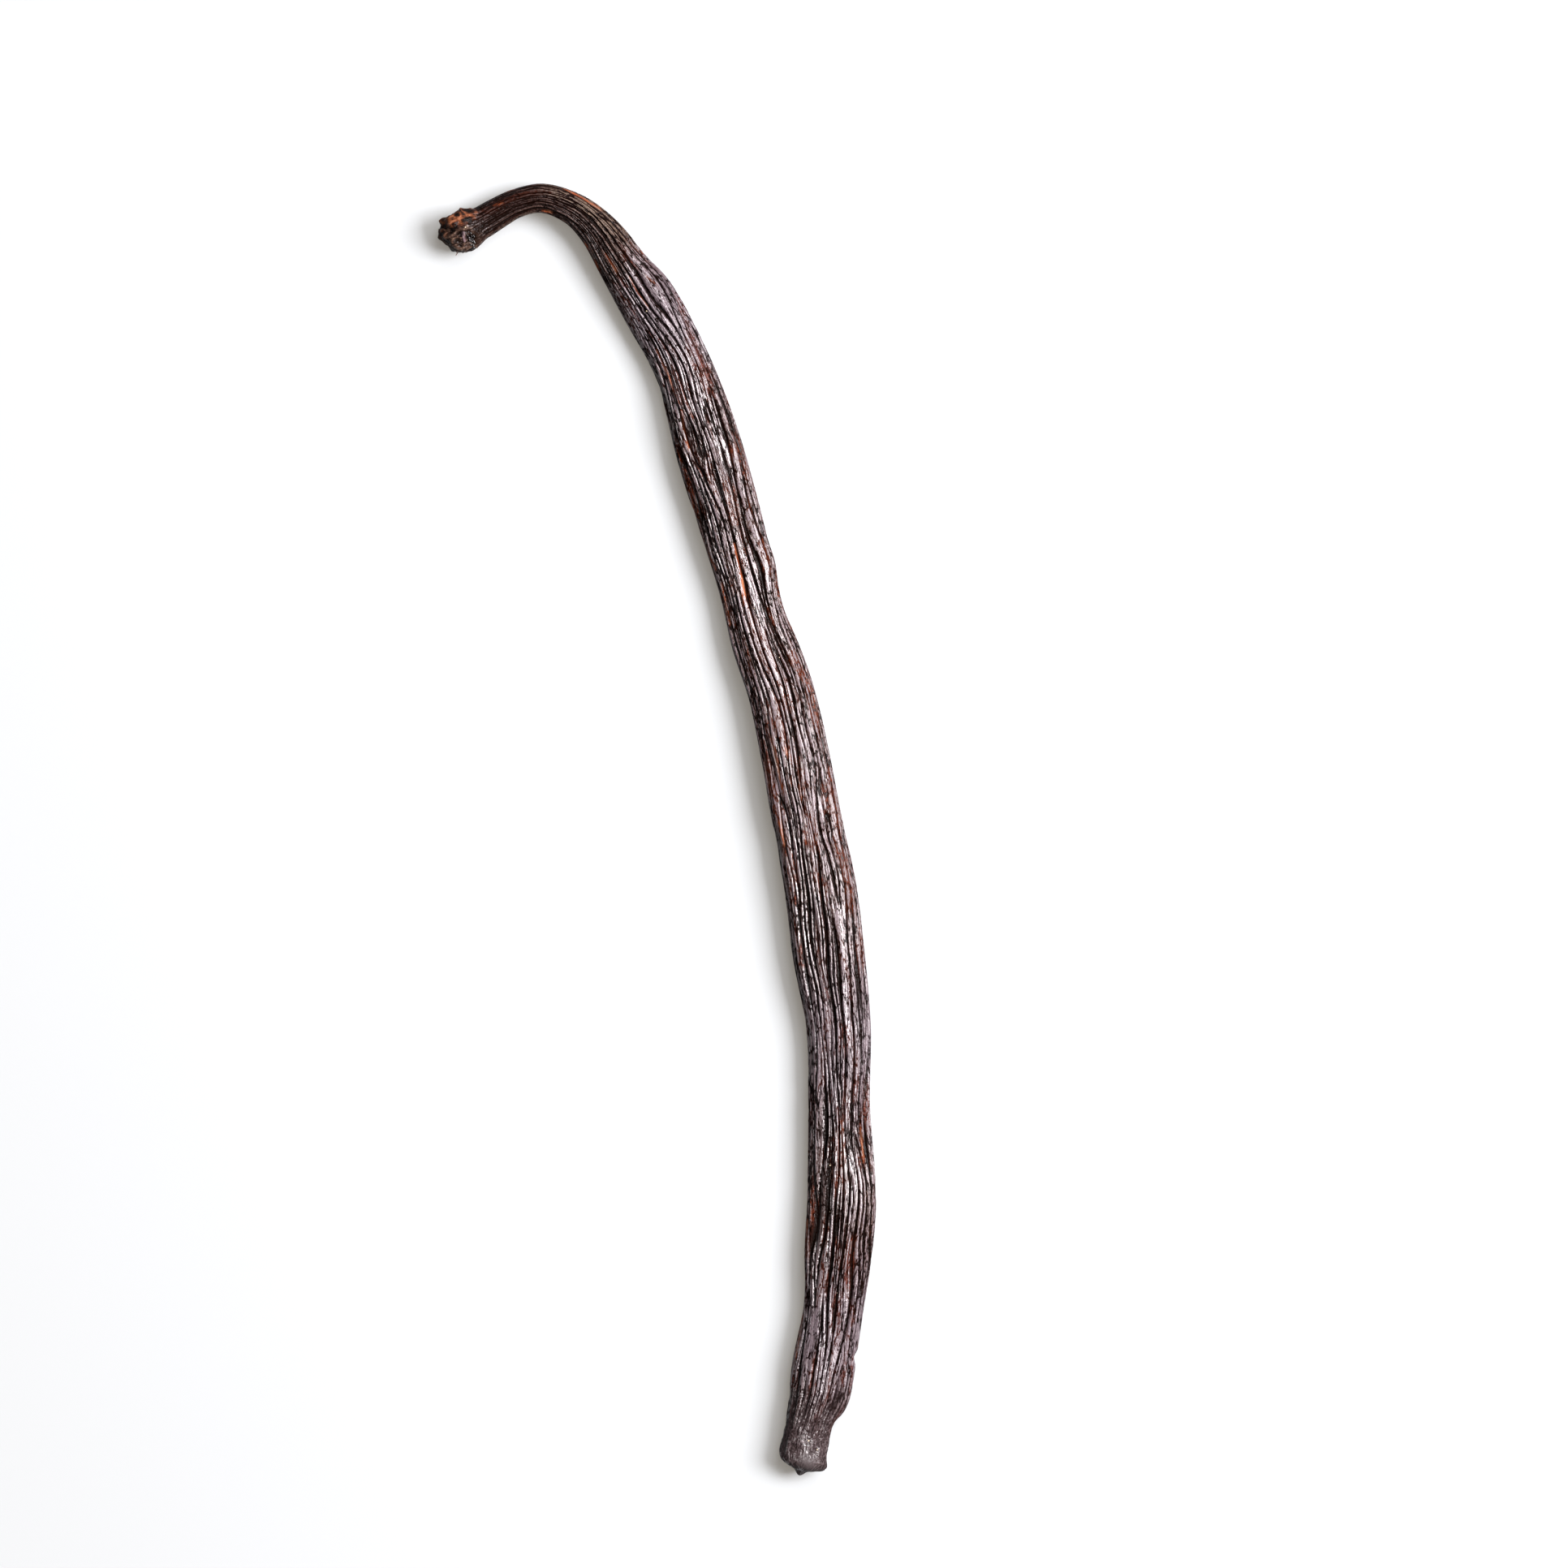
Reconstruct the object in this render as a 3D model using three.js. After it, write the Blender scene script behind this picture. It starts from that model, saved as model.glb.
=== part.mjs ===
// A cured vanilla pod lying on a table: one limp, flattened and wrinkled pod with a hooked neck,
// the torn knob of its stem at one end and the blunt, lobed blossom end at the other.
// Millimetres, +Z up. The belly rests on Z = 0, the pod runs down Y, and the origin is under the
// middle of its outline.
import * as THREE from "three";

const TURN = 2 * Math.PI;
const GOLDEN_TURN = TURN * 0.381966;

// The run of the pod from the stem end to the blossom end. Each row is one station: where the
// middle of the pod lies, its width seen from above, its height from belly to back, and how far
// its belly clears the table.
const COLUMNS = { x: 0, y: 1, wide: 2, high: 3, clear: 4 };
const STATIONS = [
  [-24.2, 73.6, 5.0, 4.6, 0.0],
  [-22.9, 74.0, 5.0, 4.4, 0.0],
  [-21.7, 74.7, 4.1, 4.0, 0.2],
  [-19.9, 75.8, 3.8, 3.7, 0.4],
  [-17.2, 77.2, 3.5, 3.4, 0.8],
  [-13.9, 77.8, 3.5, 3.4, 1.0],
  [-10.0, 76.4, 3.9, 3.6, 0.9],
  [-7.1, 73.9, 4.7, 3.9, 0.6],
  [-4.5, 70.3, 5.8, 4.2, 0.3],
  [-0.8, 64.7, 7.2, 4.6, 0.1],
  [2.8, 57.9, 7.1, 4.5, 0.0],
  [4.9, 52.2, 7.6, 4.7, 0.0],
  [6.7, 46.4, 8.0, 4.8, 0.0],
  [9.0, 38.6, 7.7, 4.6, 0.0],
  [11.2, 30.7, 7.1, 4.3, 0.1],
  [13.2, 23.5, 7.7, 4.5, 0.2],
  [15.4, 17.0, 7.9, 4.6, 0.3],
  [17.0, 9.9, 8.2, 4.7, 0.4],
  [18.7, 0.8, 8.3, 4.7, 0.4],
  [20.3, -7.3, 8.6, 4.8, 0.3],
  [21.4, -16.2, 8.6, 4.8, 0.1],
  [22.5, -24.3, 7.7, 4.5, 0.0],
  [22.6, -33.4, 7.4, 4.4, 0.0],
  [22.9, -45.0, 8.2, 4.7, 0.0],
  [22.5, -51.9, 8.1, 4.7, 0.0],
  [21.9, -58.9, 7.1, 4.4, 0.0],
  [20.7, -66.0, 7.5, 4.5, 0.1],
  [20.2, -69.6, 7.3, 4.4, 0.2],
  [19.3, -72.6, 6.4, 4.1, 0.4],
  [18.6, -75.0, 5.8, 3.8, 0.5],
  [18.2, -77.1, 5.7, 3.8, 0.4],
];

// The cross-section: a rounded box of this squareness, pressed this far into the table so that
// the belly has small flat spots, and rolled to and fro about the pod's run.
const SQUARENESS = 2.35;
const BELLY_PRESS = 0.12;
const ROLL = THREE.MathUtils.degToRad(7);
const ROLL_EVERY = 105;
// Equal steps of turn would crowd the flanks of the flat section; this share of a double wave
// spreads them evenly along the skin.
const SKIN_EVENING = 0.13;

// The long furrows that curing leaves: how many run round the pod, how deep they are where the
// pod is FULL_WIDTH wide, and how far and how often they sway to the side, in turns and mm.
const FULL_WIDTH = 8.2;
const FURROWS = [
  { around: 4, depth: 0.34, sway: 0.05, every: 97 },
  { around: 9, depth: 0.24, sway: 0.03, every: 58 },
  { around: 15, depth: 0.2, sway: 0.016, every: 37 },
];
const FURROW_SHARPNESS = 3;
const FURROW_FADE = 7;

// Pinches, knuckles and creases: how far along the pod, on which side (0 right, 0.25 back,
// 0.5 left), how long and how wide (in turns) each is, and how deep; a bump is less than zero.
const DENTS = [
  { name: "collar hollow", at: 25, side: 0.02, long: 2, broad: 0.07, deep: 0.3 },
  { name: "shoulder hollow", at: 32, side: 0.42, long: 7, broad: 0.07, deep: 0.45 },
  { name: "left pinch", at: 42, side: 0.45, long: 5, broad: 0.06, deep: 0.5 },
  { name: "right flank swell", at: 47, side: 0.12, long: 8, broad: 0.07, deep: -0.3 },
  { name: "right knuckle", at: 65, side: 0.09, long: 2.4, broad: 0.07, deep: -0.35 },
  { name: "below the knuckle", at: 71, side: 0.05, long: 3, broad: 0.07, deep: 0.4 },
  { name: "back crease", at: 99.5, side: 0.17, long: 1.3, broad: 0.1, deep: 0.35 },
  { name: "left kink", at: 99, side: 0.48, long: 2, broad: 0.05, deep: 0.3 },
  { name: "right fold", at: 135, side: 0.08, long: 4, broad: 0.05, deep: 0.45 },
  { name: "lower flank swell", at: 143, side: 0.1, long: 6, broad: 0.06, deep: -0.25 },
  { name: "waist hollow", at: 153, side: 0.3, long: 5, broad: 0.06, deep: 0.35 },
];

// The torn stem knob: a blunt cap with a raised scar on its back and broken lobes, then crags
// of the given size spread over it by the golden angle.
const KNOB_CAP = { length: 2.2, squareness: 2.0 };
const KNOB_LOBES = [
  { name: "upper lobe", x: -26.1, y: 74.9, z: 2.9, radius: 0.6, height: 0.6 },
  { name: "lower lobe", x: -26.5, y: 73.4, z: 2.3, radius: 0.7, height: 0.5 },
  { name: "notch", x: -26.3, y: 74.3, z: 2.6, radius: 0.35, height: -0.35 },
  { name: "upper slope", x: -25.5, y: 75.7, z: 2.6, radius: 0.9, height: -0.35 },
  { name: "lower slope", x: -25.7, y: 72.0, z: 2.2, radius: 0.9, height: -0.35 },
  { name: "throat", x: -21.4, y: 72.4, z: 2.0, radius: 1.0, height: -0.3 },
  { name: "scar bump", x: -23.7, y: 76.4, z: 3.0, radius: 0.45, height: 0.3 },
  { name: "scar plate", x: -23.8, y: 75.2, z: 4.4, radius: 1.3, height: 0.35 },
  { name: "wet hollow", x: -22.9, y: 72.4, z: 3.6, radius: 0.8, height: -0.35 },
];
const CRAGS = 22;
const CRAG_RADIUS = 0.55;
const CRAG_HEIGHT = 0.24;

// The blossom end: a blunt cap with two side lobes, a low point and the smooth old scar.
const TIP_CAP = { length: 1.9, squareness: 2.5 };
const TIP_LOBES = [
  { name: "right waist", x: 22.3, y: -73.5, z: 2.4, radius: 1.7, height: -0.6 },
  { name: "left lobe", x: 15.3, y: -76.2, z: 2.2, radius: 1.1, height: 0.2 },
  { name: "low point", x: 17.8, y: -79.0, z: 2.0, radius: 0.6, height: 0.65 },
  { name: "right lobe", x: 20.5, y: -78.5, z: 2.2, radius: 0.7, height: 0.45 },
  { name: "corner", x: 16.2, y: -78.3, z: 2.2, radius: 0.9, height: -0.45 },
  { name: "blossom scar", x: 18.6, y: -78.0, z: 3.9, radius: 1.0, height: 0.2 },
];

// The mesh: points round the pod, rings on each cap, and the steps between the rings of the
// body, which grow from the end step to the middle step over the first stretch from each end.
const AROUND = 56;
const CAP_RINGS = 8;
const END_STEP = 0.9;
const MIDDLE_STEP = 2.5;
const STEP_GROWTH = { from: 4, to: 15 };

// How far along the pod each station lies.
const STARTS = [0];
for (let i = 1; i < STATIONS.length; i += 1) {
  const [ax, ay] = STATIONS[i - 1];
  const [bx, by] = STATIONS[i];
  STARTS.push(STARTS[i - 1] + Math.hypot(bx - ax, by - ay));
}
const LENGTH = STARTS[STARTS.length - 1];

// The slope of a column at station i, from its neighbours on both sides.
function slopeAt(i, column) {
  const before = Math.max(i - 1, 0);
  const after = Math.min(i + 1, STATIONS.length - 1);
  return (STATIONS[after][column] - STATIONS[before][column]) / (STARTS[after] - STARTS[before]);
}

// The value and the slope of a column at a distance along the pod: a cubic between stations.
function follow(distance, column) {
  let i = STARTS.findIndex((start) => start > distance) - 1;
  if (i < 0) i = STATIONS.length - 2;
  const gap = STARTS[i + 1] - STARTS[i];
  const t = (distance - STARTS[i]) / gap;
  const [from, to] = [STATIONS[i][column], STATIONS[i + 1][column]];
  const [leaving, arriving] = [slopeAt(i, column) * gap, slopeAt(i + 1, column) * gap];
  const value =
    (2 * t ** 3 - 3 * t ** 2 + 1) * from +
    (t ** 3 - 2 * t ** 2 + t) * leaving +
    (3 * t ** 2 - 2 * t ** 3) * to +
    (t ** 3 - t ** 2) * arriving;
  const slope =
    ((6 * t ** 2 - 6 * t) * (from - to) +
      (3 * t ** 2 - 4 * t + 1) * leaving +
      (3 * t ** 2 - 2 * t) * arriving) /
    gap;
  return { value, slope };
}

// The nearest way from one side to another round the pod, in turns.
function turnsBetween(a, b) {
  const gap = a - b;
  return gap - Math.round(gap);
}

// How far the skin stands out of the plain section: furrows and dents, less near both ends.
function relief(side, distance, wide) {
  let depth = 0;
  FURROWS.forEach((furrow, k) => {
    const drift = furrow.sway * Math.sin((TURN * distance) / furrow.every + k * GOLDEN_TURN);
    const wave = 0.5 - 0.5 * Math.cos(TURN * furrow.around * (side + drift));
    const strength = 0.65 + 0.35 * Math.sin(distance / (3 + k) + TURN * side + k);
    depth += furrow.depth * strength * wave ** FURROW_SHARPNESS;
  });
  const fade =
    THREE.MathUtils.smoothstep(distance, 0, FURROW_FADE) *
    THREE.MathUtils.smoothstep(LENGTH - distance, 0, FURROW_FADE);
  let dent = 0;
  for (const d of DENTS) {
    const along = (distance - d.at) / d.long;
    const across = turnsBetween(side, d.side) / d.broad;
    dent += d.deep * Math.exp(-(along ** 2) - across ** 2);
  }
  return -depth * fade * (wide / FULL_WIDTH) - dent;
}

// The height that lumps add at a point: a rounded hill round each lump's middle.
function lumpHeight(point, lumps) {
  let height = 0;
  for (const lump of lumps) {
    const apart = Math.hypot(point.x - lump.x, point.y - lump.y, point.z - lump.z);
    height += lump.height * Math.exp(-((apart / lump.radius) ** 2));
  }
  return height;
}

// One point of the plain skin and the way it faces. A ring on a cap is shrunk by the sine of
// its angle and moved out along the pod by the cosine.
function skinPoint(side, ring) {
  const at = (name) => follow(ring.distance, COLUMNS[name]).value;
  const dx = follow(ring.distance, COLUMNS.x).slope;
  const dy = follow(ring.distance, COLUMNS.y).slope;
  const ahead = new THREE.Vector3(dx, dy, 0).normalize();
  const right = new THREE.Vector3(-ahead.y, ahead.x, 0);
  const up = new THREE.Vector3(0, 0, 1);

  const roll = ROLL * Math.sin((TURN * ring.distance) / ROLL_EVERY);
  const angle = TURN * side + SKIN_EVENING * Math.sin(2 * TURN * side);
  const [c, s] = [Math.cos(angle), Math.sin(angle)];
  const reach = (Math.abs(c) ** SQUARENESS + Math.abs(s) ** SQUARENESS) ** (-1 / SQUARENESS);
  const [halfWide, halfHigh] = [at("wide") / 2, at("high") / 2];
  const flat = new THREE.Vector2(halfWide * reach * c, halfHigh * reach * s);
  const facing = new THREE.Vector2(flat.x / halfWide ** 2, flat.y / halfHigh ** 2).normalize();
  const origin = new THREE.Vector2();
  flat.multiplyScalar(ring.shrink).rotateAround(origin, roll);
  facing.rotateAround(origin, roll);

  const point = new THREE.Vector3(at("x"), at("y"), at("clear") + halfHigh - BELLY_PRESS)
    .addScaledVector(ahead, ring.out)
    .addScaledVector(right, flat.x)
    .addScaledVector(up, flat.y);
  const normal = new THREE.Vector3()
    .addScaledVector(ahead, ring.lean)
    .addScaledVector(right, facing.x * ring.upright)
    .addScaledVector(up, facing.y * ring.upright)
    .normalize();
  return { point, normal, wide: at("wide") };
}

// A point of the real skin: the plain one moved along its facing by the relief and the lumps,
// and never below the table.
function podPoint(side, ring) {
  const { point, normal, wide } = skinPoint(side, ring);
  const out =
    relief(side, ring.distance, wide) * ring.shrink + lumpHeight(point, LUMPS);
  point.addScaledVector(normal, out);
  point.z = Math.max(point.z, 0);
  return point;
}

// A ring of a cap: angle 0 is the pole and a quarter turn is the rim; way is -1 or 1.
function capRing(step, distance, cap, way) {
  const angle = (0.25 * TURN * step) / CAP_RINGS;
  const power = 2 / cap.squareness;
  return {
    distance,
    shrink: Math.sin(angle) ** power,
    out: way * cap.length * Math.cos(angle) ** power,
    lean: way * Math.cos(angle),
    upright: Math.sin(angle),
  };
}

// Where the rings of the body lie along it, closer together towards both ends.
function bodyDistances() {
  const distances = [0];
  while (distances.at(-1) < LENGTH) {
    const last = distances.at(-1);
    const inwards = Math.min(last, LENGTH - last);
    const growth = THREE.MathUtils.smoothstep(inwards, STEP_GROWTH.from, STEP_GROWTH.to);
    distances.push(last + THREE.MathUtils.lerp(END_STEP, MIDDLE_STEP, growth));
  }
  const fit = LENGTH / distances.at(-1);
  return distances.map((distance) => distance * fit);
}

const RINGS = [];
for (let step = 1; step < CAP_RINGS; step += 1) RINGS.push(capRing(step, 0, KNOB_CAP, -1));
for (const distance of bodyDistances()) {
  RINGS.push({ distance, shrink: 1, out: 0, lean: 0, upright: 1 });
}
for (let step = CAP_RINGS - 1; step > 0; step -= 1) {
  RINGS.push(capRing(step, LENGTH, TIP_CAP, 1));
}

// Crags over the torn face and the knob behind it: hills and pits in turn.
function crags() {
  return Array.from({ length: CRAGS }, (_, k) => {
    const share = (k + 0.5) / CRAGS;
    const ring = capRing(CAP_RINGS * share, 0, KNOB_CAP, -1);
    const side = (k * GOLDEN_TURN) / TURN;
    const { point } = skinPoint(side - Math.floor(side), ring);
    const height = CRAG_HEIGHT * (k % 2 === 0 ? 1 : -1);
    return { x: point.x, y: point.y, z: point.z, radius: CRAG_RADIUS, height };
  });
}
const LUMPS = [...KNOB_LOBES, ...TIP_LOBES, ...crags()];

// The closed skin: a pole, rings of AROUND points, and the other pole, joined by triangles
// that all face outwards.
function podGeometry() {
  const corners = [podPoint(0, capRing(0, 0, KNOB_CAP, -1))];
  for (const ring of RINGS) {
    for (let k = 0; k < AROUND; k += 1) corners.push(podPoint(k / AROUND, ring));
  }
  corners.push(podPoint(0, capRing(0, LENGTH, TIP_CAP, 1)));

  const corner = (row, k) => 1 + row * AROUND + (k % AROUND);
  const lastRow = RINGS.length - 1;
  const lastCorner = corners.length - 1;
  const faces = [];
  for (let k = 0; k < AROUND; k += 1) {
    faces.push(0, corner(0, k + 1), corner(0, k));
    for (let row = 0; row < lastRow; row += 1) {
      const [a, b] = [corner(row, k), corner(row, k + 1)];
      const [c, d] = [corner(row + 1, k), corner(row + 1, k + 1)];
      faces.push(a, d, c, a, b, d);
    }
    faces.push(lastCorner, corner(lastRow, k), corner(lastRow, k + 1));
  }
  const geometry = new THREE.BufferGeometry().setFromPoints(corners);
  geometry.setIndex(faces);
  geometry.computeVertexNormals();
  return geometry;
}

// The skin is oily and nearly black-brown.
const curedSkin = new THREE.MeshStandardMaterial({
  color: "#2e1f1b",
  roughness: 0.42,
  metalness: 0,
});

const pod = new THREE.Mesh(podGeometry(), curedSkin);
pod.name = "pod";

const vanillaPod = new THREE.Group();
vanillaPod.add(pod);

export default vanillaPod;
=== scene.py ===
"""A cured vanilla pod on a pale table, laid out as a Blender add-on and run as a script.

The pod's skin, the oil beads in its furrows, the pale flecks and the stray fibres are all
surfaces worked out with numpy, in millimetres, and turned to metres as they enter a mesh.
"""

import functools
import math
from collections import namedtuple

import bpy
import numpy as np
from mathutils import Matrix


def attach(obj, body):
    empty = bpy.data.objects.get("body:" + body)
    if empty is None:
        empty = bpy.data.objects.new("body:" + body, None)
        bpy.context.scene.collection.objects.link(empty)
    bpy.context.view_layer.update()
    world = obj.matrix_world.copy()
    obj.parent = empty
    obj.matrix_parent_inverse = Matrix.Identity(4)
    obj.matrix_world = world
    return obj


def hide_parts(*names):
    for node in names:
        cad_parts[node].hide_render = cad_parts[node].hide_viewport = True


bl_info = {
    "name": "Vanilla Pod",
    "version": (1, 0, 0),
    "blender": (4, 5, 0),
    "location": "View3D > Sidebar > Vanilla",
    "description": "Builds a cured vanilla pod and the table it lies on",
    "category": "Add Mesh",
}

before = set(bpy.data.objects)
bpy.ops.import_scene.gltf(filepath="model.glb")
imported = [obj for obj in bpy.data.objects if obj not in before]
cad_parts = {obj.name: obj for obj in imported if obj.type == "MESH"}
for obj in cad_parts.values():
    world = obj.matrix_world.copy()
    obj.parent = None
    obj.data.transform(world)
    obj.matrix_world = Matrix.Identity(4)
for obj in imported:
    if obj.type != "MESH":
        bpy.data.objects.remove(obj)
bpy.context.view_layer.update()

MM = 0.001
TURN = 2 * math.pi
GOLDEN_TURN = TURN * 0.381966

# --- The form of the pod, in millimetres, with the table at Z = 0 ---

# The run of the pod from the stem end to the blossom end: where its middle lies (x, y), its
# width from above, its height from belly to back, and how far the belly clears the table.
STATIONS = np.array([
    (-24.2, 73.6, 5.0, 4.6, 0.0),
    (-22.9, 74.0, 5.0, 4.4, 0.0),
    (-21.7, 74.7, 4.1, 4.0, 0.2),
    (-19.9, 75.8, 3.8, 3.7, 0.4),
    (-17.2, 77.2, 3.5, 3.4, 0.8),
    (-13.9, 77.8, 3.5, 3.4, 1.0),
    (-10.0, 76.4, 3.9, 3.6, 0.9),
    (-7.1, 73.9, 4.7, 3.9, 0.6),
    (-4.5, 70.3, 5.8, 4.2, 0.3),
    (-0.8, 64.7, 7.2, 4.6, 0.1),
    (2.8, 57.9, 7.1, 4.5, 0.0),
    (4.9, 52.2, 7.6, 4.7, 0.0),
    (6.7, 46.4, 8.0, 4.8, 0.0),
    (9.0, 38.6, 7.7, 4.6, 0.0),
    (11.2, 30.7, 7.1, 4.3, 0.1),
    (13.2, 23.5, 7.7, 4.5, 0.2),
    (15.4, 17.0, 7.9, 4.6, 0.3),
    (17.0, 9.9, 8.2, 4.7, 0.4),
    (18.7, 0.8, 8.3, 4.7, 0.4),
    (20.3, -7.3, 8.6, 4.8, 0.3),
    (21.4, -16.2, 8.6, 4.8, 0.1),
    (22.5, -24.3, 7.7, 4.5, 0.0),
    (22.6, -33.4, 7.4, 4.4, 0.0),
    (22.9, -45.0, 8.2, 4.7, 0.0),
    (22.5, -51.9, 8.1, 4.7, 0.0),
    (21.9, -58.9, 7.1, 4.4, 0.0),
    (20.7, -66.0, 7.5, 4.5, 0.1),
    (20.2, -69.6, 7.3, 4.4, 0.2),
    (19.3, -72.6, 6.4, 4.1, 0.4),
    (18.6, -75.0, 5.8, 3.8, 0.5),
    (18.2, -77.1, 5.7, 3.8, 0.4),
])
STARTS = np.r_[0, np.cumsum(np.hypot(*np.diff(STATIONS[:, :2], axis=0).T))]
LENGTH = STARTS[-1]

# The section: a rounded box of this squareness, pressed into the table and rolled to and fro,
# its points spread evenly; it is this much longer round than an ellipse.
SQUARENESS = 2.35
BELLY_PRESS = 0.12
ROLL = math.radians(7)
ROLL_EVERY = 105
SKIN_EVENING = 0.13
GIRTH_EXCESS = 1.04

# The long furrows of curing: how many run round, how deep, how far and how often they sway.
FULL_WIDTH = 8.2
FURROWS = [(4, 0.34, 0.05, 97), (9, 0.14, 0.03, 58), (15, 0.08, 0.016, 37)]
FURROW_SHARPNESS = 3
FURROW_FADE = 7

# Pinches and knuckles: how far along, on which side (0 right, 0.25 back, 0.5 left), how long,
# how wide in turns, and how deep; a bump is less than zero.
DENTS = [
    (25, 0.02, 2, 0.07, 0.3),  # collar hollow
    (32, 0.42, 7, 0.07, 0.45),  # shoulder hollow
    (42, 0.45, 5, 0.06, 0.5),  # left pinch
    (47, 0.12, 8, 0.07, -0.3),  # right flank swell
    (65, 0.07, 2.4, 0.07, -0.5),  # right knuckle
    (71, 0.05, 3, 0.07, 0.5),  # below the knuckle
    (99.5, 0.17, 1.3, 0.1, 0.35),  # back crease
    (99, 0.48, 2, 0.05, 0.3),  # left kink
    (135, 0.08, 4, 0.05, 0.45),  # right fold
    (143, 0.1, 6, 0.06, -0.25),  # lower flank swell
    (144, 0.365, 9, 0.03, 0.25),  # lower valley
    (153, 0.3, 5, 0.06, 0.35),  # waist hollow
    (163, 0.01, 0.6, 0.05, 0.45),  # right nick
]

# The two ends: how far a cap reaches and how square it is, then rounded lumps given by their
# middle, radius and height.
KNOB_CAP = (2.2, 2.0)
KNOB_LOBES = [
    (-26.1, 74.9, 2.9, 0.6, 0.6),  # upper lobe
    (-26.5, 73.4, 2.3, 0.7, 0.5),  # lower lobe
    (-26.3, 74.3, 2.6, 0.35, -0.35),  # notch
    (-25.5, 75.7, 2.6, 0.9, -0.35),  # upper slope
    (-25.7, 72.0, 2.2, 0.9, -0.35),  # lower slope
    (-21.4, 72.4, 2.0, 1.0, -0.3),  # throat
    (-23.7, 76.4, 3.0, 0.45, 0.3),  # scar bump
    (-23.8, 75.2, 4.4, 1.3, 0.35),  # scar plate
    (-22.9, 72.4, 3.6, 0.8, -0.35),  # wet hollow
]
CRAGS = 22
CRAG_RADIUS = 0.55
CRAG_HEIGHT = 0.24
TIP_CAP = (1.9, 2.5)
TIP_LOBES = [
    (22.3, -73.5, 2.4, 1.7, -0.6),  # right waist
    (15.3, -76.2, 2.2, 1.1, 0.2),  # left lobe
    (17.8, -79.0, 2.0, 0.6, 0.65),  # low point
    (20.5, -78.5, 2.2, 0.7, 0.45),  # right lobe
    (16.2, -78.3, 2.2, 0.9, -0.45),  # corner
    (18.6, -78.0, 3.9, 1.0, 0.2),  # blossom scar
]

# The mesh: points round the pod, closer on its back than on its belly, and rings along it,
# closer at both ends and where it is creased across.
AROUND = 224
BACK_CROWDING = 0.22
KNOB_RINGS = 26
TIP_RINGS = 20
BODY_RINGS = 400
MIDDLE_STEP = 0.46
END_STEP = 0.17
END_REACH = 5.0
CREASED_STRETCHES = [(66, 4), (99.5, 2.5), (135, 4)]
CREASED_STEP = 0.55

# The grid that the wrinkle noise is worked out on, and the stretch of pod that it covers.
NOISE_GRID = (1024, 1024)
NOISE_RUN = 200.0
NOISE_START = -8.0

# Stretches of the pod, each by how far along it is and how long: the shoulder, soft skin with
# less wax, crinkled skin, broad and uncut ridges, and a grey bloom with painted sheen on its
# ridges, with how thick it is.
SHOULDER = (33, 8)
SOFT_STRETCH = (90, 24)
CRINKLED_STRETCHES = [(54, 12), (98, 6), (135, 7), (165, 8)]
BROAD_STRETCHES = [SOFT_STRETCH, (124, 8), (162, 6)]
BLOOM_SHEEN_STRETCHES = [(*SHOULDER, 0.7), (125, 9, 0.6), (161, 8, 0.65)]

# Spots, each by how far along it is, how long, on which side, how wide in turns and how strong:
# where oil has come out, and where painted shade darkens the skin: in the lower valley and on
# the left flank near the tip.
OILED = [(44, 6, 0.2, 0.07, 0.85), (142.5, 5, 0.17, 0.06, 1.0), (165, 8, 0.27, 0.14, 0.5)]
PAINTED_SHADE_SPOTS = [(173, 5, 0.43, 0.08, 0.9), (144, 9, 0.365, 0.025, 0.9)]

# How fast the wrinkles change along calm skin, against 1 where it is crinkled, and how much
# slower on the neck, which ends here, and on the shoulder.
CALM_PACE = 0.5
DRAWN_OUT = 0.4
NECK_PACE_END = (18, 26)

# The body's ridges are counted here. The neck has this share of them round it; they fan out
# over the shoulder and give way to the body's between these distances. The neck's dark skin
# ends sooner, at a slant.
COUNTED_AT = 95.0
NECK_RIDGES = 0.6
NECK_RIDGES_END = (35, 45)
NECK_END = (21.5, 24.5)
NECK_SLANT = 3

# How far the ridges sway, in turns; then the noise that makes a full ridge, the depth to which
# narrow furrows cut into broad ridges, how much both change from place to place and between
# which limits, and how much less they are where the ridges are broad and uncut, as they are
# where oil has filled the narrow furrows.
SWAY = 0.011
RIDGE_ROUNDNESS = 1.6
NARROW_REACH = 0.8
BROAD_REACH = 0.82
BROAD_REACH_CHANGE = 0.22
BROAD_REACH_LIMITS = (0.5, 1.3)
BROAD_REACH_LESS = 0.35
CUT = 0.45
CUT_CHANGE = 0.4
CUT_LIMITS = (0.1, 0.95)
CUT_LESS = 0.25
NECK_CUT = 0.3
OIL_FILLS = 1.3

# The relief that lies level with the plain skin, and that of the boss of the blossom scar.
LEVEL = 0.6
BOSS_LEVEL = 0.62

# Torn and dried tissue: the seed, the size in mm and the octaves of its noise, and its depth.
TORN = (71, 0.9, 4)
TEAR_DEPTH = 0.42
CRUMBS = (91, 1.4, 4)
CRUMB_HEIGHT = 1.5
DRIED = 0.85

# How waxy the ridges are, from 0 to 1: the usual, how much it changes from place to place, what
# the right flank and the soft stretch take off, what oil adds, and the least there is.
WAX = 0.72
WAX_CHANGE = 0.2
RIGHT_FLANK = (0.07, 0.1)
FLANK_TAKES = 0.65
SOFT_TAKES = 0.45
OIL_ADDS = 0.5
LEAST_WAX = 0.12

Ring = namedtuple("Ring", "distance shrink out lean upright")
Skin = namedtuple("Skin", "point normal marks")


def smooth(value, low, high):
    """0 below low, 1 above high and an S-curve between them."""
    t = np.clip((value - low) / (high - low), 0, 1)
    return t * t * (3 - 2 * t)


def bell(value, middle, reach):
    """1 at the middle, falling off as a bell to a third at the given reach."""
    return np.exp(-(((value - middle) / reach) ** 2))


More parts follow.
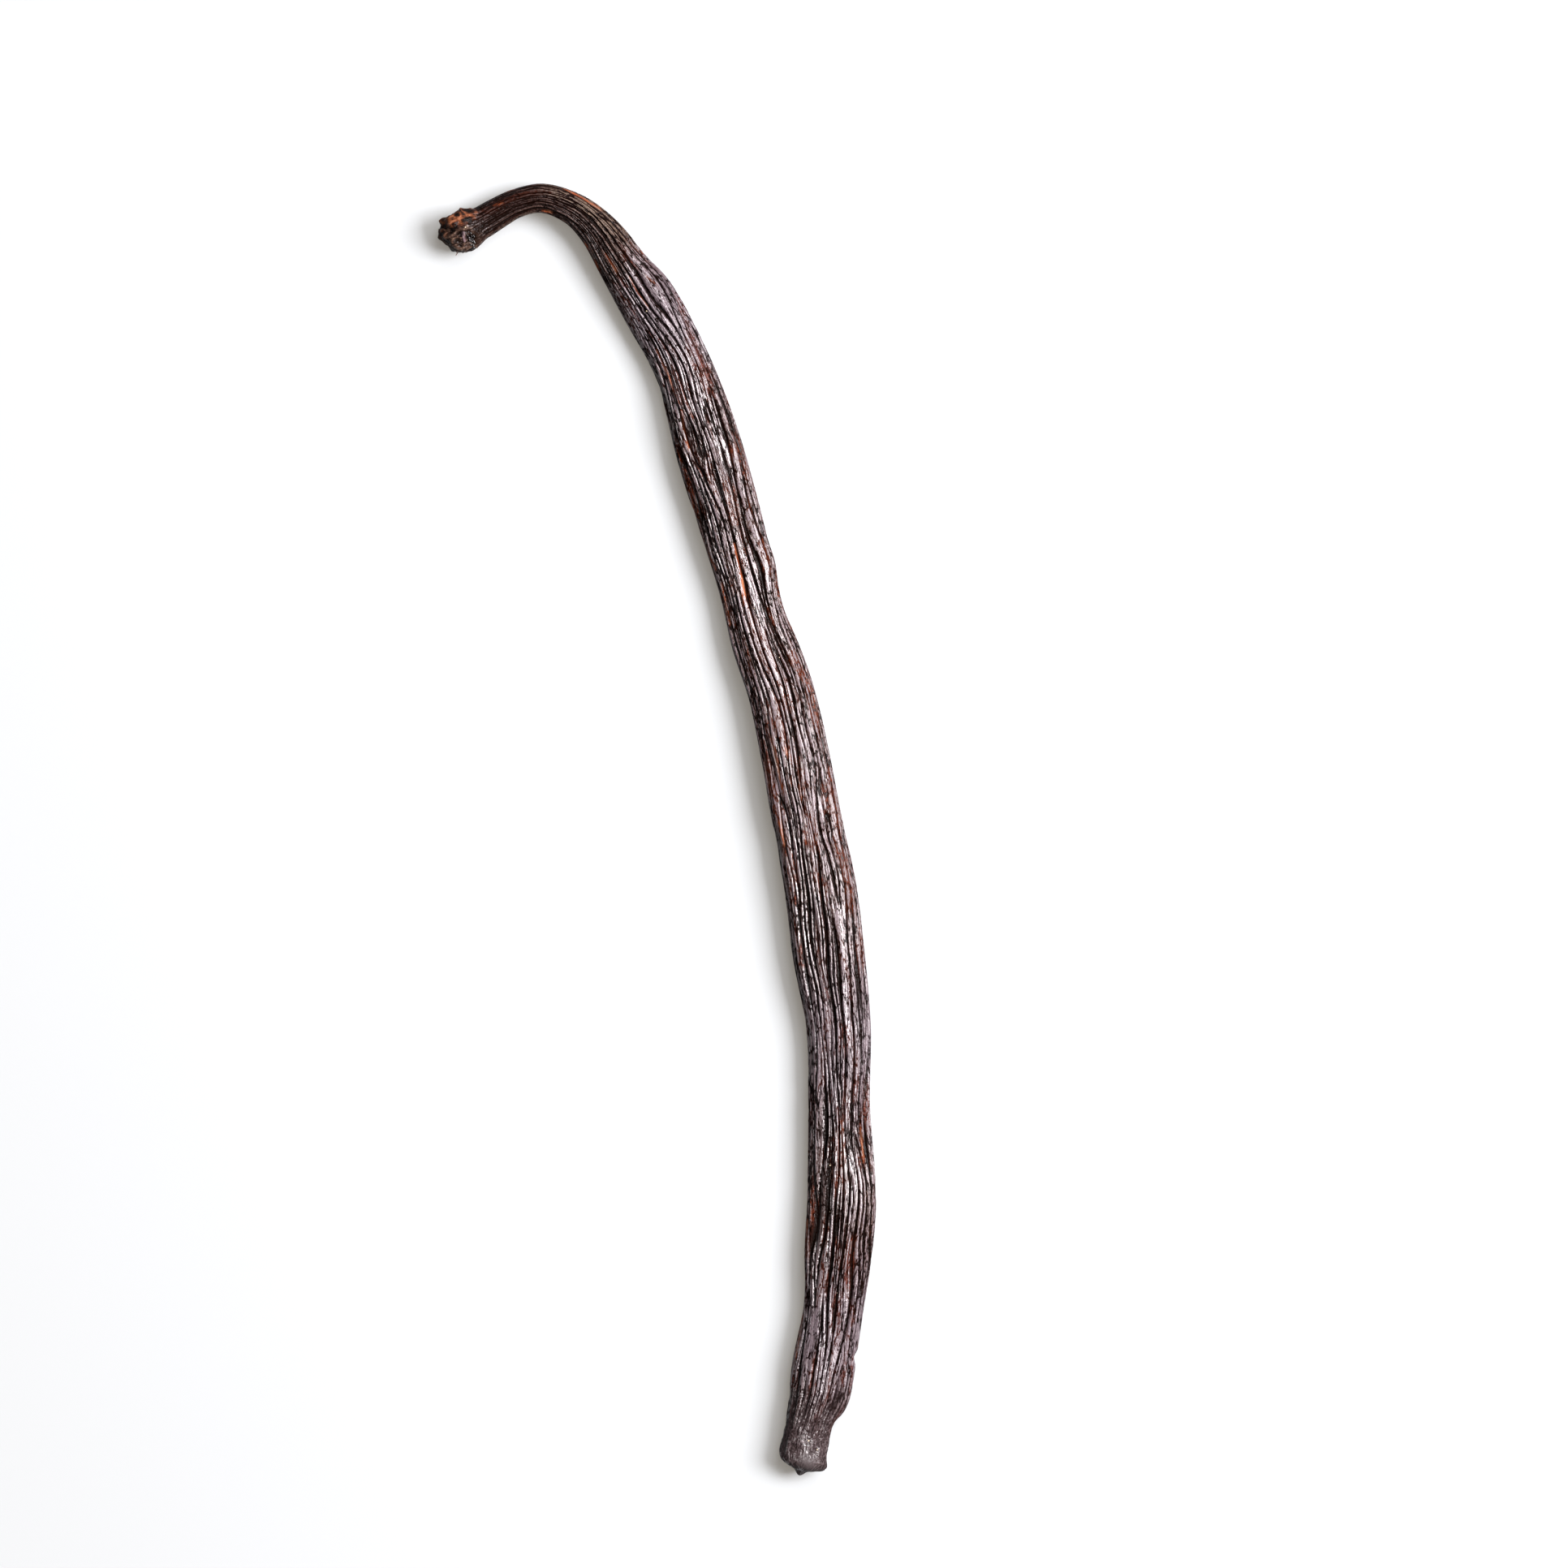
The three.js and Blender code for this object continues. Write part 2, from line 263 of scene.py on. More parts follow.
def follow(distance):
    """The station columns and their slopes at distances along the pod.

    Cubic curves run between the stations, with the slope at each taken from its neighbours.
    """
    last = len(STATIONS) - 1
    before = np.maximum(np.arange(last + 1) - 1, 0)
    after = np.minimum(np.arange(last + 1) + 1, last)
    slopes = (STATIONS[after] - STATIONS[before]) / (STARTS[after] - STARTS[before])[:, None]
    i = np.clip(np.searchsorted(STARTS, distance, side="right") - 1, 0, last - 1)
    gap = (STARTS[i + 1] - STARTS[i])[..., None]
    t = (distance - STARTS[i])[..., None] / gap
    start, end = STATIONS[i], STATIONS[i + 1]
    leaving, arriving = slopes[i] * gap, slopes[i + 1] * gap
    cubed = 2 * (start - end) + leaving + arriving
    squared = 3 * (end - start) - 2 * leaving - arriving
    value = ((cubed * t + squared) * t + leaving) * t + start
    slope = ((3 * cubed * t + 2 * squared) * t + leaving) / gap
    return value, slope


def turns_between(a, b):
    """The nearest way round from one side to another, in turns."""
    return (a - b) - np.round(a - b)


def spot(side, distance, at, reach, on, wide):
    """1 at a place on the skin, falling off as a bell along the pod and round it."""
    return bell(distance, at, reach) * bell(turns_between(side, on), 0, wide)


def spots_at(side, distance, spots):
    """The strongest of several spots at each place on the skin."""
    strongest = np.zeros(np.broadcast(side, distance).shape)
    for *where, strength in spots:
        strongest = np.maximum(strongest, strength * spot(side, distance, *where))
    return strongest


def plan_spot(point, x, y, radius):
    """1 at a place seen from above, falling off as a bell."""
    return bell(np.hypot(point[..., 0] - x, point[..., 1] - y), 0, radius)


def body_relief(side, distance, wide):
    """How far the skin stands out of the plain section, in mm.

    Each set of furrows is a raised cosine round the pod, sharpened by a power, whose strength
    and sway change along it; each dent is a bell in both directions.
    """
    depth = np.zeros(np.broadcast(side, distance).shape)
    for k, (around, deep, sway, every) in enumerate(FURROWS):
        drift = sway * np.sin(TURN * distance / every + k * GOLDEN_TURN)
        wave = 0.5 - 0.5 * np.cos(TURN * around * (side + drift))
        strength = 0.65 + 0.35 * np.sin(distance / (3 + k) + TURN * side + k)
        depth += deep * strength * wave**FURROW_SHARPNESS
    fade = smooth(distance, 0, FURROW_FADE) * smooth(LENGTH - distance, 0, FURROW_FADE)
    dent = np.zeros_like(depth)
    for at, on, long, broad, deep in DENTS:
        dent += deep * spot(side, distance, at, long, on, broad)
    return -depth * fade * wide / FULL_WIDTH - dent


def lump_height(point, lumps):
    """The height that lumps add at points: a rounded hill round each lump's middle."""
    height = np.zeros(point.shape[:-1])
    for x, y, z, radius, high in lumps:
        apart = np.linalg.norm(point - (x, y, z), axis=-1)
        height += high * bell(apart, 0, radius)
    return height


def cap_ring(share, distance, cap, way):
    """A ring of a cap: share 0 is the pole and 1 the rim, and way is -1 or 1."""
    length, squareness = cap
    angle = share * TURN / 4
    power = 2 / squareness
    return Ring(
        distance=np.full_like(share, distance),
        shrink=np.sin(angle) ** power,
        out=way * length * np.abs(np.cos(angle)) ** power,
        lean=way * np.cos(angle),
        upright=np.sin(angle),
    )


def plain_skin(side, ring):
    """The plain skin and the way it faces, for sides and rings.

    A rounded box as wide and high as the stations say is rolled and set square to the run; a
    cap shrinks it by the sine of its angle and moves it out by the cosine.
    """
    value, slope = follow(ring.distance)
    x, y, wide, high, clear = np.moveaxis(value, -1, 0)
    up = np.array([0.0, 0.0, 1.0])
    ahead = slope[..., :3] * (1 - up)
    ahead = ahead / np.linalg.norm(ahead, axis=-1, keepdims=True)
    right = np.cross(up, ahead)

    roll = ROLL * np.sin(TURN * ring.distance / ROLL_EVERY)
    angle = TURN * side + SKIN_EVENING * np.sin(2 * TURN * side)
    c, s = np.cos(angle), np.sin(angle)
    reach = (np.abs(c) ** SQUARENESS + np.abs(s) ** SQUARENESS) ** (-1 / SQUARENESS)
    across, rise = wide / 2 * reach * c, high / 2 * reach * s
    face = np.stack([across / (wide / 2) ** 2, rise / (high / 2) ** 2])
    face = face / np.linalg.norm(face, axis=0)
    cos, sin = np.cos(roll), np.sin(roll)
    flat = ring.shrink * np.stack([across * cos - rise * sin, across * sin + rise * cos])
    face = np.stack([face[0] * cos - face[1] * sin, face[0] * sin + face[1] * cos])

    middle = np.stack([x, y, clear + high / 2 - BELLY_PRESS], axis=-1)
    point = middle + ahead * ring.out[..., None]
    point = point + right * flat[0][..., None] + up * flat[1][..., None]
    normal = (right * face[0][..., None] + up * face[1][..., None]) * ring.upright[..., None]
    normal = ahead * ring.lean[..., None] + normal
    normal = normal / np.linalg.norm(normal, axis=-1, keepdims=True)
    return point, normal, wide


def crags():
    """Crags over the torn face and the knob behind it: hills and pits in turn."""
    count = np.arange(CRAGS)
    ring = cap_ring((count + 0.5) / CRAGS, 0.0, KNOB_CAP, -1)
    side = count * GOLDEN_TURN / TURN
    point = plain_skin(side - np.floor(side), ring)[0]
    height = CRAG_HEIGHT * np.where(count % 2 == 0, 1, -1)
    return [(*p, CRAG_RADIUS, h) for p, h in zip(point, height)]


LUMPS = KNOB_LOBES + TIP_LOBES + crags()


# --- The fine wrinkles ---


def wave_noise(seed, waves, spread, run, evened=0.0):
    """Noise on a grid of side by distance that closes round the pod.

    Random waves, so many to the turn give or take the spread, are added up. Along the pod they
    hold for about the given run in mm, so that ridges start, end and fork as they drift apart.
    Only waves that turn one way are kept, so that the sum's size is the local strength of the
    pattern; evened is how far that strength is divided out, from 0 to 1.
    """
    rows, columns = NOISE_GRID
    rng = np.random.default_rng(seed)
    around = np.fft.fftfreq(rows, 1 / rows)[:, None]
    along = np.fft.fftfreq(columns, 1 / columns)[None, :]
    holding = NOISE_RUN / (TURN * run)
    strength = bell(around, waves, spread * math.sqrt(2)) * bell(along, 0, holding * math.sqrt(2))
    phases = rng.normal(size=NOISE_GRID) + 1j * rng.normal(size=NOISE_GRID)
    noise = np.fft.ifft2(strength * phases)
    noise = noise / noise.real.std()
    return noise.real / (np.abs(noise) + 0.05) ** evened


def sample(noise, side, distance):
    """Reads a noise grid between its points, straight across each cell."""
    rows, columns = noise.shape
    row = (side % 1.0) * rows
    column = (distance - NOISE_START) / NOISE_RUN * columns
    i, j = np.floor(row).astype(int), np.floor(column).astype(int)
    u, v = row - i, column - j
    i0, i1, j0, j1 = i % rows, (i + 1) % rows, j % columns, (j + 1) % columns
    return (
        noise[i0, j0] * (1 - u) * (1 - v)
        + noise[i1, j0] * u * (1 - v)
        + noise[i0, j1] * (1 - u) * v
        + noise[i1, j1] * u * v
    )


def inner_at(side):
    """1 on the inner side of the neck's bend and 0 on the outer."""
    return smooth(turns_between(side, 0.2), -0.04, 0.06)


def neck_at(side, distance):
    """1 on the neck and 0 on the body, which begins at a slant: sooner on the outer side."""
    return 1 - smooth(distance - NECK_SLANT * inner_at(side), *NECK_END)


def girth_at(distance):
    """The way round the pod in mm: an ellipse's, and a little more for the squareness."""
    value, _ = follow(distance)
    a, b = value[..., 2] / 2, value[..., 3] / 2
    return math.pi * (3 * (a + b) - np.sqrt((3 * a + b) * (a + 3 * b))) * GIRTH_EXCESS


def pace_of(distance):
    """Distance along the pod as the wrinkles count it: short where crinkled, long at the neck."""
    fine = np.linspace(NOISE_START, NOISE_START + NOISE_RUN, 2001)
    pace = np.full_like(fine, CALM_PACE)
    for at, reach in CRINKLED_STRETCHES:
        pace += (1 - CALM_PACE) * bell(fine, at, reach)
    on_neck = 1 - smooth(fine, *NECK_PACE_END)
    pace *= 1 - DRAWN_OUT * bell(fine, *SHOULDER) - DRAWN_OUT * on_neck
    total = NOISE_START + np.r_[0, np.cumsum(0.5 * (pace[1:] + pace[:-1]) * np.diff(fine))]
    return np.interp(distance, fine, total)


def folded(noise, reach):
    """Ridges between furrows: the size of the noise, rounded off by a sine at the reach."""
    share = np.clip(np.abs(noise) / reach, 0, 1)
    return np.sin(share * TURN / 4) ** RIDGE_ROUNDNESS


class Wrinkles:
    """The wrinkles of the skin as a height from 0 in a furrow to 1 on a ridge.

    Two sizes of ridge are folded out of noise. The narrow furrows are cut into the broad ridges,
    deeper in some places than in others; a slow sway bends both. The neck has fewer ridges to
    the turn, so that they are as narrow as the body's, and they fan out over the shoulder.
    """

    def __init__(self, seed, pitch):
        # Each noise takes its waves to the turn, their spread, their run and its evening.
        ridges = girth_at(np.array(COUNTED_AT)) / pitch
        self.narrow = wave_noise(seed, ridges / 2, ridges / 3, 2.2, 0.8)
        self.broad = wave_noise(seed + 310, ridges / 3.8, ridges / 6, 4.0, 0.9)
        fewer = ridges * NECK_RIDGES
        self.neck = wave_noise(seed + 5, fewer / 2, fewer / 4, 3.0, 0.8)
        self.sway = wave_noise(seed + 20, 3, 2, 3.0)
        self.slow = wave_noise(seed + 21, 5, 4, 5.0)
        self.wide = wave_noise(seed + 22, 6, 4, 3.5)

    def at(self, side, distance):
        shoulder = bell(distance, *SHOULDER)
        sway = SWAY * (1 + shoulder) * sample(self.sway, side, distance)
        bent = side + sway
        paced = pace_of(distance)
        broad_at = [bell(distance, at, reach) for at, reach in BROAD_STRETCHES]
        filled = OIL_FILLS * spots_at(side, distance, OILED)
        uncut = np.maximum(np.max(broad_at, axis=0), filled)
        cut = CUT - CUT_LESS * uncut + CUT_CHANGE * sample(self.slow, side, distance)
        reach = BROAD_REACH + BROAD_REACH_CHANGE * sample(self.wide, side, distance)
        reach = np.clip(reach, *BROAD_REACH_LIMITS) * (1 - BROAD_REACH_LESS * uncut)
        broad = folded(sample(self.broad, bent, paced), reach)
        narrow = folded(sample(self.narrow, bent, paced), NARROW_REACH)
        body = broad * (1 - np.clip(cut, *CUT_LIMITS) * (1 - narrow))
        neck = folded(sample(self.neck, bent, paced), NARROW_REACH)
        neck = neck * (1 - NECK_CUT * (1 - narrow))
        # The upper side of the neck is nearly even next to the knob.
        upper = 1 - smooth(turns_between(side, 0.36), -0.05, 0.05)
        neck = neck + 0.6 * upper * (1 - smooth(distance, 8, 13)) * (0.5 - neck)
        return neck + smooth(distance, *NECK_RIDGES_END) * (body - neck)


def lattice_noise(point, seed):
    """Smooth noise of about -1 to 1 with one bump to a unit.

    Each corner of a unit lattice has a random slope; the eight round a point are blended by a
    fifth-power curve.
    """
    table = np.random.default_rng(seed).normal(size=(4096, 3))
    table /= np.linalg.norm(table, axis=1, keepdims=True)
    cell = np.floor(point).astype(np.int64)
    local = point - cell
    fade = local**3 * (local * (local * 6 - 15) + 10)
    total = np.zeros(point.shape[:-1])
    for corner in np.ndindex(2, 2, 2):
        at = cell + np.array(corner)
        key = at[..., 0] * 73856093 ^ at[..., 1] * 19349663 ^ at[..., 2] * 83492791
        slope = table[(key ^ (key >> 15)) & 4095]
        weight = np.prod(np.where(np.array(corner) == 1, fade, 1 - fade), axis=-1)
        total += weight * ((local - np.array(corner)) * slope).sum(-1)
    return 1.6 * total


def craggy(point, seed, size, octaves):
    """Torn tissue: sharp-crested noise of the given size in mm, halved at each octave."""
    total, strength, norm = 0.0, 1.0, 0.0
    for k in range(octaves):
        crest = 1 - np.abs(lattice_noise(point / size * 2**k, seed + k)) * 1.6
        total = total + strength * crest
        norm += strength
        strength *= 0.55
    return total / norm


# --- Marks on the skin, given by where they are seen from above, in mm of the shared frame ---

# Amber streaks: their course, half-width and strength.
AMBER_STREAKS = [
    ([(-20.2, 78.0), (-19.0, 78.5), (-17.6, 78.9)], 0.1, 0.5),
    ([(-19.9, 76.9), (-19.1, 77.05)], 0.09, 0.7),
    ([(-11.1, 78.9), (-9.0, 77.8), (-6.6, 76.3)], 0.1, 1.0),
    ([(-1.8, 71.3), (-0.4, 70.2)], 0.09, 0.9),
    ([(-13.8, 76.2), (-12.9, 76.1)], 0.1, 0.8),
    ([(-8.7, 72.1), (-7.8, 71.0)], 0.13, 0.9),
    ([(-7.5, 70.1), (-7.0, 68.9)], 0.12, 0.8),
    ([(-6.1, 70.7), (-5.4, 69.8), (-4.7, 68.7)], 0.12, 0.9),
    ([(-1.2, 68.1), (0.4, 66.9)], 0.07, 0.4),
    ([(-3.2, 67.9), (-2.2, 66.0), (-1.0, 64.4)], 0.07, 0.4),
    ([(0.2, 59.0), (1.6, 55.9), (2.9, 52.4)], 0.1, 0.9),
    ([(3.2, 51.4), (3.7, 48.6), (4.1, 46.8)], 0.12, 0.9),
    ([(4.2, 40.7), (5.2, 37.0), (7.3, 32.1)], 0.13, 0.9),
    ([(8.1, 30.3), (9.2, 25.3)], 0.13, 0.8),
    ([(9.7, 35.1), (10.1, 33.2), (10.6, 31.0), (11.0, 28.7)], 0.15, 0.85),
    ([(10.6, 29.6), (10.9, 27.6)], 0.12, 0.6),
    ([(14.3, 11.2), (15.0, 8.2), (15.7, 4.3)], 0.12, 0.9),
    ([(15.9, 9.9), (16.6, 8.9)], 0.2, 0.75),
    ([(15.2, 0.9), (15.9, -1.9)], 0.13, 0.8),
    ([(17.6, 5.6), (18.0, 3.6)], 0.1, 0.6),
    ([(22.9, -35.8), (23.2, -40.4)], 0.1, 0.7),
    ([(25.2, -36.6), (25.6, -40.8)], 0.09, 0.6),
    ([(18.6, -48.0), (18.5, -53.0)], 0.1, 0.7),
    ([(18.2, -58.6), (17.7, -62.2), (17.2, -65.0)], 0.12, 0.8),
]

# The rust-coloured scar on the torn stem: its middle, its half-length and half-width, its turn,
# and how far it stands up; then rusty spots beside it, by their middle and radius.
SCAR_MIDDLE = (-23.9, 75.2)
SCAR_REACH = (2.1, 1.05)
SCAR_TURN = math.radians(24)
SCAR_LIFT = 0.3
RUSTY_LOBES = [(-26.0, 74.85, 0.5), (-26.35, 73.35, 0.55)]

# Black pits and hollows of the torn stem: their middle and radius.
PITS = [(-25.85, 74.6, 0.45), (-25.2, 73.9, 0.35), (-24.1, 74.6, 0.32), (-22.7, 72.75, 0.7)]
PIT_DEPTH = 0.3

# The smooth boss of the blossom scar: its middle and radius.
BOSS = (18.8, -77.8, 1.1)

# A smooth lip beside the wet hollow, painted with a lavender highlight: its course, half-width and
# height.
LIP = ([(-23.65, 73.5), (-23.6, 72.9), (-23.45, 72.4)], 0.11, 0.24)


def plan_distance(point, course):
    """How far points lie from a course of straight stretches, seen from above."""
    near = np.full(point.shape[:-1], np.inf)
    course = np.array(course, float)
    for a, b in zip(course[:-1], course[1:]):
        way = b - a
        t = np.clip(((point[..., :2] - a) @ way) / (way @ way), 0, 1)
        near = np.minimum(near, np.linalg.norm(point[..., :2] - a - t[..., None] * way, axis=-1))
    return near


def scar_at(point, torn):
    """1 on the stem scar and 0 off it: an ellipse seen from above, with a ragged rim."""
    ahead = np.array([math.cos(SCAR_TURN), math.sin(SCAR_TURN)])
    across = np.array([-ahead[1], ahead[0]])
    offset = point[..., :2] - SCAR_MIDDLE
    radius = np.hypot(offset @ ahead / SCAR_REACH[0], offset @ across / SCAR_REACH[1])
    scar = 1 - smooth(radius + 0.5 * (torn - 0.5), 0.9, 1.08)
    for x, y, reach in RUSTY_LOBES:
        scar = np.maximum(scar, 0.5 * plan_spot(point, x, y, reach))
    return scar * smooth(point[..., 2], 2.0, 2.8)


def pits_at(point):
    """1 in the pits of the torn stem and 0 away from them."""
    pits = np.max([plan_spot(point, *pit) for pit in PITS], axis=0)
    return pits * smooth(point[..., 2], 1.8, 2.6)


def gloss_at(side, distance, seed):
    """How waxy the ridges are: a slow noise, with the places that have less or more."""
    gloss = WAX + WAX_CHANGE * sample(wave_noise(seed + 30, 4, 3, 2.5), side, distance)
    on, wide = RIGHT_FLANK
    gloss = gloss * (1 - FLANK_TAKES * bell(turns_between(side, on), 0, wide))
    gloss = gloss * (1 - SOFT_TAKES * bell(distance, *SOFT_STRETCH))
    return np.clip(gloss + OIL_ADDS * spots_at(side, distance, OILED), LEAST_WAX, 1)


def skin_at(side, ring, wrinkles, depth):
    """The real skin: the plain one moved along its facing by the furrows, lumps and wrinkles."""
    point, normal, wide = plain_skin(side, ring)
    run = ring.distance + ring.out

    # The wrinkles dry to crumbs towards the tip, where the boss stands clear of them.
    relief = wrinkles.at(side, run)
    crumbs = craggy(point * (1, 0.6, 1), *CRUMBS)
    drying = smooth(run, LENGTH - 10, LENGTH - 2)
    boss = plan_spot(point, *BOSS) * smooth(run, LENGTH - 3, LENGTH)
    relief = relief + DRIED * drying * (CRUMB_HEIGHT * crumbs - 0.4 - relief)
    relief = relief + boss * (BOSS_LEVEL - relief)

    # They are shallow where the pod is narrow and at its two ends.
    fade_tip = 0.6 + 0.4 * smooth(LENGTH + 0.5 - run, 0, 6)
    fade_knob = smooth(run, 0.5, 3.5)
    scale = 0.55 + 0.45 * smooth(wide, 3.5, 7.5)
    out = body_relief(side, ring.distance, wide) * ring.shrink + lump_height(point, LUMPS)
    out = out + depth * scale * fade_knob * fade_tip * (relief - LEVEL) * ring.shrink

    # The torn stem end has crags, a raised scar, pits and a lip.
    torn = craggy(point, *TORN)
    tearing = 1 - smooth(run, 0.6, 2.8)
    scar = scar_at(point, torn)
    pits = pits_at(point)
    course, width, high = LIP
    lip = bell(plan_distance(point, course), 0, width) * smooth(point[..., 2], 2.2, 2.8)
    out = out + TEAR_DEPTH * tearing * (1 - 0.6 * scar) * (torn - LEVEL)
    out = out + SCAR_LIFT * scar - PIT_DEPTH * pits * (1 - lip) + high * lip

    point = point + normal * out[..., None]
    point[..., 2] = np.maximum(point[..., 2], 0)
    sleek = np.maximum(spots_at(side, run, OILED), 0.75 * bell(run, *SOFT_STRETCH))
    marks = {
        "relief": relief,
        "torn": tearing * (0.6 + 0.4 * torn),
        "crag": torn,
        "scar": scar,
        "pit": pits,
        "lip": lip,
        "boss": boss,
        "sleek": np.maximum(sleek, boss),
    }
    return Skin(point, normal, marks)


# --- The grid ---


def ring_places():
    """The rings of the whole pod, from the knob's pole side to the tip's."""
    fine = np.linspace(0, LENGTH, 8001)
    inwards = np.minimum(fine, LENGTH - fine)
    step = END_STEP + (MIDDLE_STEP - END_STEP) * smooth(inwards, 1.5, END_REACH)
    for at, reach in CREASED_STRETCHES:
        step = step * (1 - (1 - CREASED_STEP) * bell(fine, at, reach))
    count = np.r_[0, np.cumsum(0.5 * (1 / step[1:] + 1 / step[:-1]) * np.diff(fine))]
    body = np.interp(np.linspace(0, count[-1], BODY_RINGS), count, fine)
    knob = cap_ring(np.arange(1, KNOB_RINGS) / KNOB_RINGS, 0.0, KNOB_CAP, -1)
    tip = cap_ring(np.arange(TIP_RINGS - 1, 0, -1) / TIP_RINGS, LENGTH, TIP_CAP, 1)
    plain = Ring(body, *(np.full(BODY_RINGS, v, float) for v in (1, 0, 0, 1)))
    return Ring(*(np.concatenate(parts) for parts in zip(knob, plain, tip)))


def pod_grid():
    """Sides and rings as a grid: one row for each ring, one column for each point round."""
    turn = np.arange(AROUND) / AROUND
    side = turn - BACK_CROWDING * np.sin(TURN * (turn - 0.25)) / TURN
    rings = ring_places()
    return side[None, :], Ring(*(part[:, None] for part in rings))


# --- Meshes and materials ---


def new_mesh(name, points, faces):
    """A smooth mesh in metres, from points in mm and faces."""
    mesh = bpy.data.meshes.new(name)
    mesh.from_pydata((np.asarray(points) * MM).tolist(), [], faces)
    mesh.shade_smooth()
    mesh.update()
    return mesh


def new_object(name, data, place=(0, 0, 0)):
    """An object of the scene with this data."""
    made = bpy.data.objects.new(name, data)
    made.location = place
    bpy.context.scene.collection.objects.link(made)
    return made


def new_piece(name, mesh, material):
    """An object at the origin that rides on the pod's one body, with the given material."""
    piece = new_object(name, mesh)
    mesh.materials.append(material)
    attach(piece, "root")
    return piece


def tube_faces(rows, columns):
    """Faces of a grid that closes round, with a pole before the first row and after the last."""
    k = np.arange(columns)
    nxt = (k + 1) % columns
    row = np.arange(rows - 1)[:, None] * columns + 1
    quads = np.stack([row + k, row + nxt, row + columns + nxt, row + columns + k], axis=-1)
    end = 1 + (rows - 1) * columns
    first = np.stack([np.zeros_like(k), 1 + nxt, 1 + k], axis=-1)
    last = np.stack([np.full_like(k, end + columns), end + k, end + nxt], axis=-1)
    return first.tolist() + quads.reshape(-1, 4).tolist() + last.tolist()


def moved_on(faces, count):
    """The same faces for points that come so many later in the list."""
    return [[corner + count for corner in face] for face in faces]


def add_value(mesh, name, kind, values):
    """Stores one value or vector for each vertex under a name."""
    layer = mesh.attributes.new(name, kind, "POINT")
    field = "value" if kind == "FLOAT" else "vector"
    layer.data.foreach_set(field, np.asarray(values, np.float32).ravel())


def linear(colour):
    """An sRGB hex colour as linear red, green, blue and a full alpha."""
    parts = [int(colour[i : i + 2], 16) / 255 for i in (1, 3, 5)]
    return (*(p / 12.92 if p <= 0.04045 else ((p + 0.055) / 1.055) ** 2.4 for p in parts), 1.0)


def add_node(tree, kind, out=0, settings=(), inputs=()):
    """Adds a node and returns one of its outputs.

    Settings are the node's own properties, inputs are values or sockets, both by name.
    """
    made = tree.nodes.new(kind)
    for name, value in dict(settings).items():
        setattr(made, name, value)
    for name, value in dict(inputs).items():
        if isinstance(value, bpy.types.NodeSocket):
            tree.links.new(value, made.inputs[name])
        else:
            made.inputs[name].default_value = value
    return made.outputs[out]


def set_stops(ramp, stops):
    """Gives the colour ramp behind a socket its stops: where each lies and its hex colour."""
    elements = ramp.node.color_ramp.elements
    while len(elements) < len(stops):
        elements.new(1.0)
    for element, (position, colour) in zip(elements, stops):
        element.position = position
        element.color = linear(colour)
    return ramp


def new_material(name):
    """A material with a Principled shader, and its node tree."""
    material = bpy.data.materials.new(name)
    material.use_nodes = True
    return material, material.node_tree, material.node_tree.nodes["Principled BSDF"]


# The skin's own map, which takes its finish when it is baked: how many strips, and the gap
# beside each as a share of its width.
MAP_NAME = "OFBake"
MAP_STRIPS = 3
MAP_GAP = 0.012

# What the skin's mesh tells its material at each vertex, from 0 to 1.
SKIN_MARKS = (
    "relief",  # from the bottom of a furrow to the top of a ridge
    "amber",  # thin skin that glows amber
    "dark",  # peat-black skin of the neck, and painted shade in the lower valley and on the tip's left flank
    "pale",  # painted highlight on the tops of the neck's ridges
    "bloom",  # grey bloom with painted sheen on the shoulder and on two stretches beyond it
    "dull",  # dry skin towards the blossom end
    "gloss",  # wax on the ridges
    "sleek",  # skin without fine wrinkles
    "torn",  # torn face of the stem end
    "crag",  # how the torn tissue is broken up
    "scar",  # rust-coloured stem scar
    "pit",  # black pits in the torn face
    "lip",  # smooth lip beside the wet hollow, with a painted lavender highlight
    "boss",  # smooth boss of the blossom scar
)

# Patterns in the material: how often each turns over in a mm, across, across and along the pod,
# and how much finer detail it has.
PATTERNS = {
    "lines": ((2.6, 2.6, 0.42), 2.0),
    "crumb": ((5.5, 5.5, 3.6), 3.0),
    "crinkle": ((1.6, 1.6, 2.6), 1.0),
    "drift": ((0.8, 0.8, 0.16), 2.0),
}

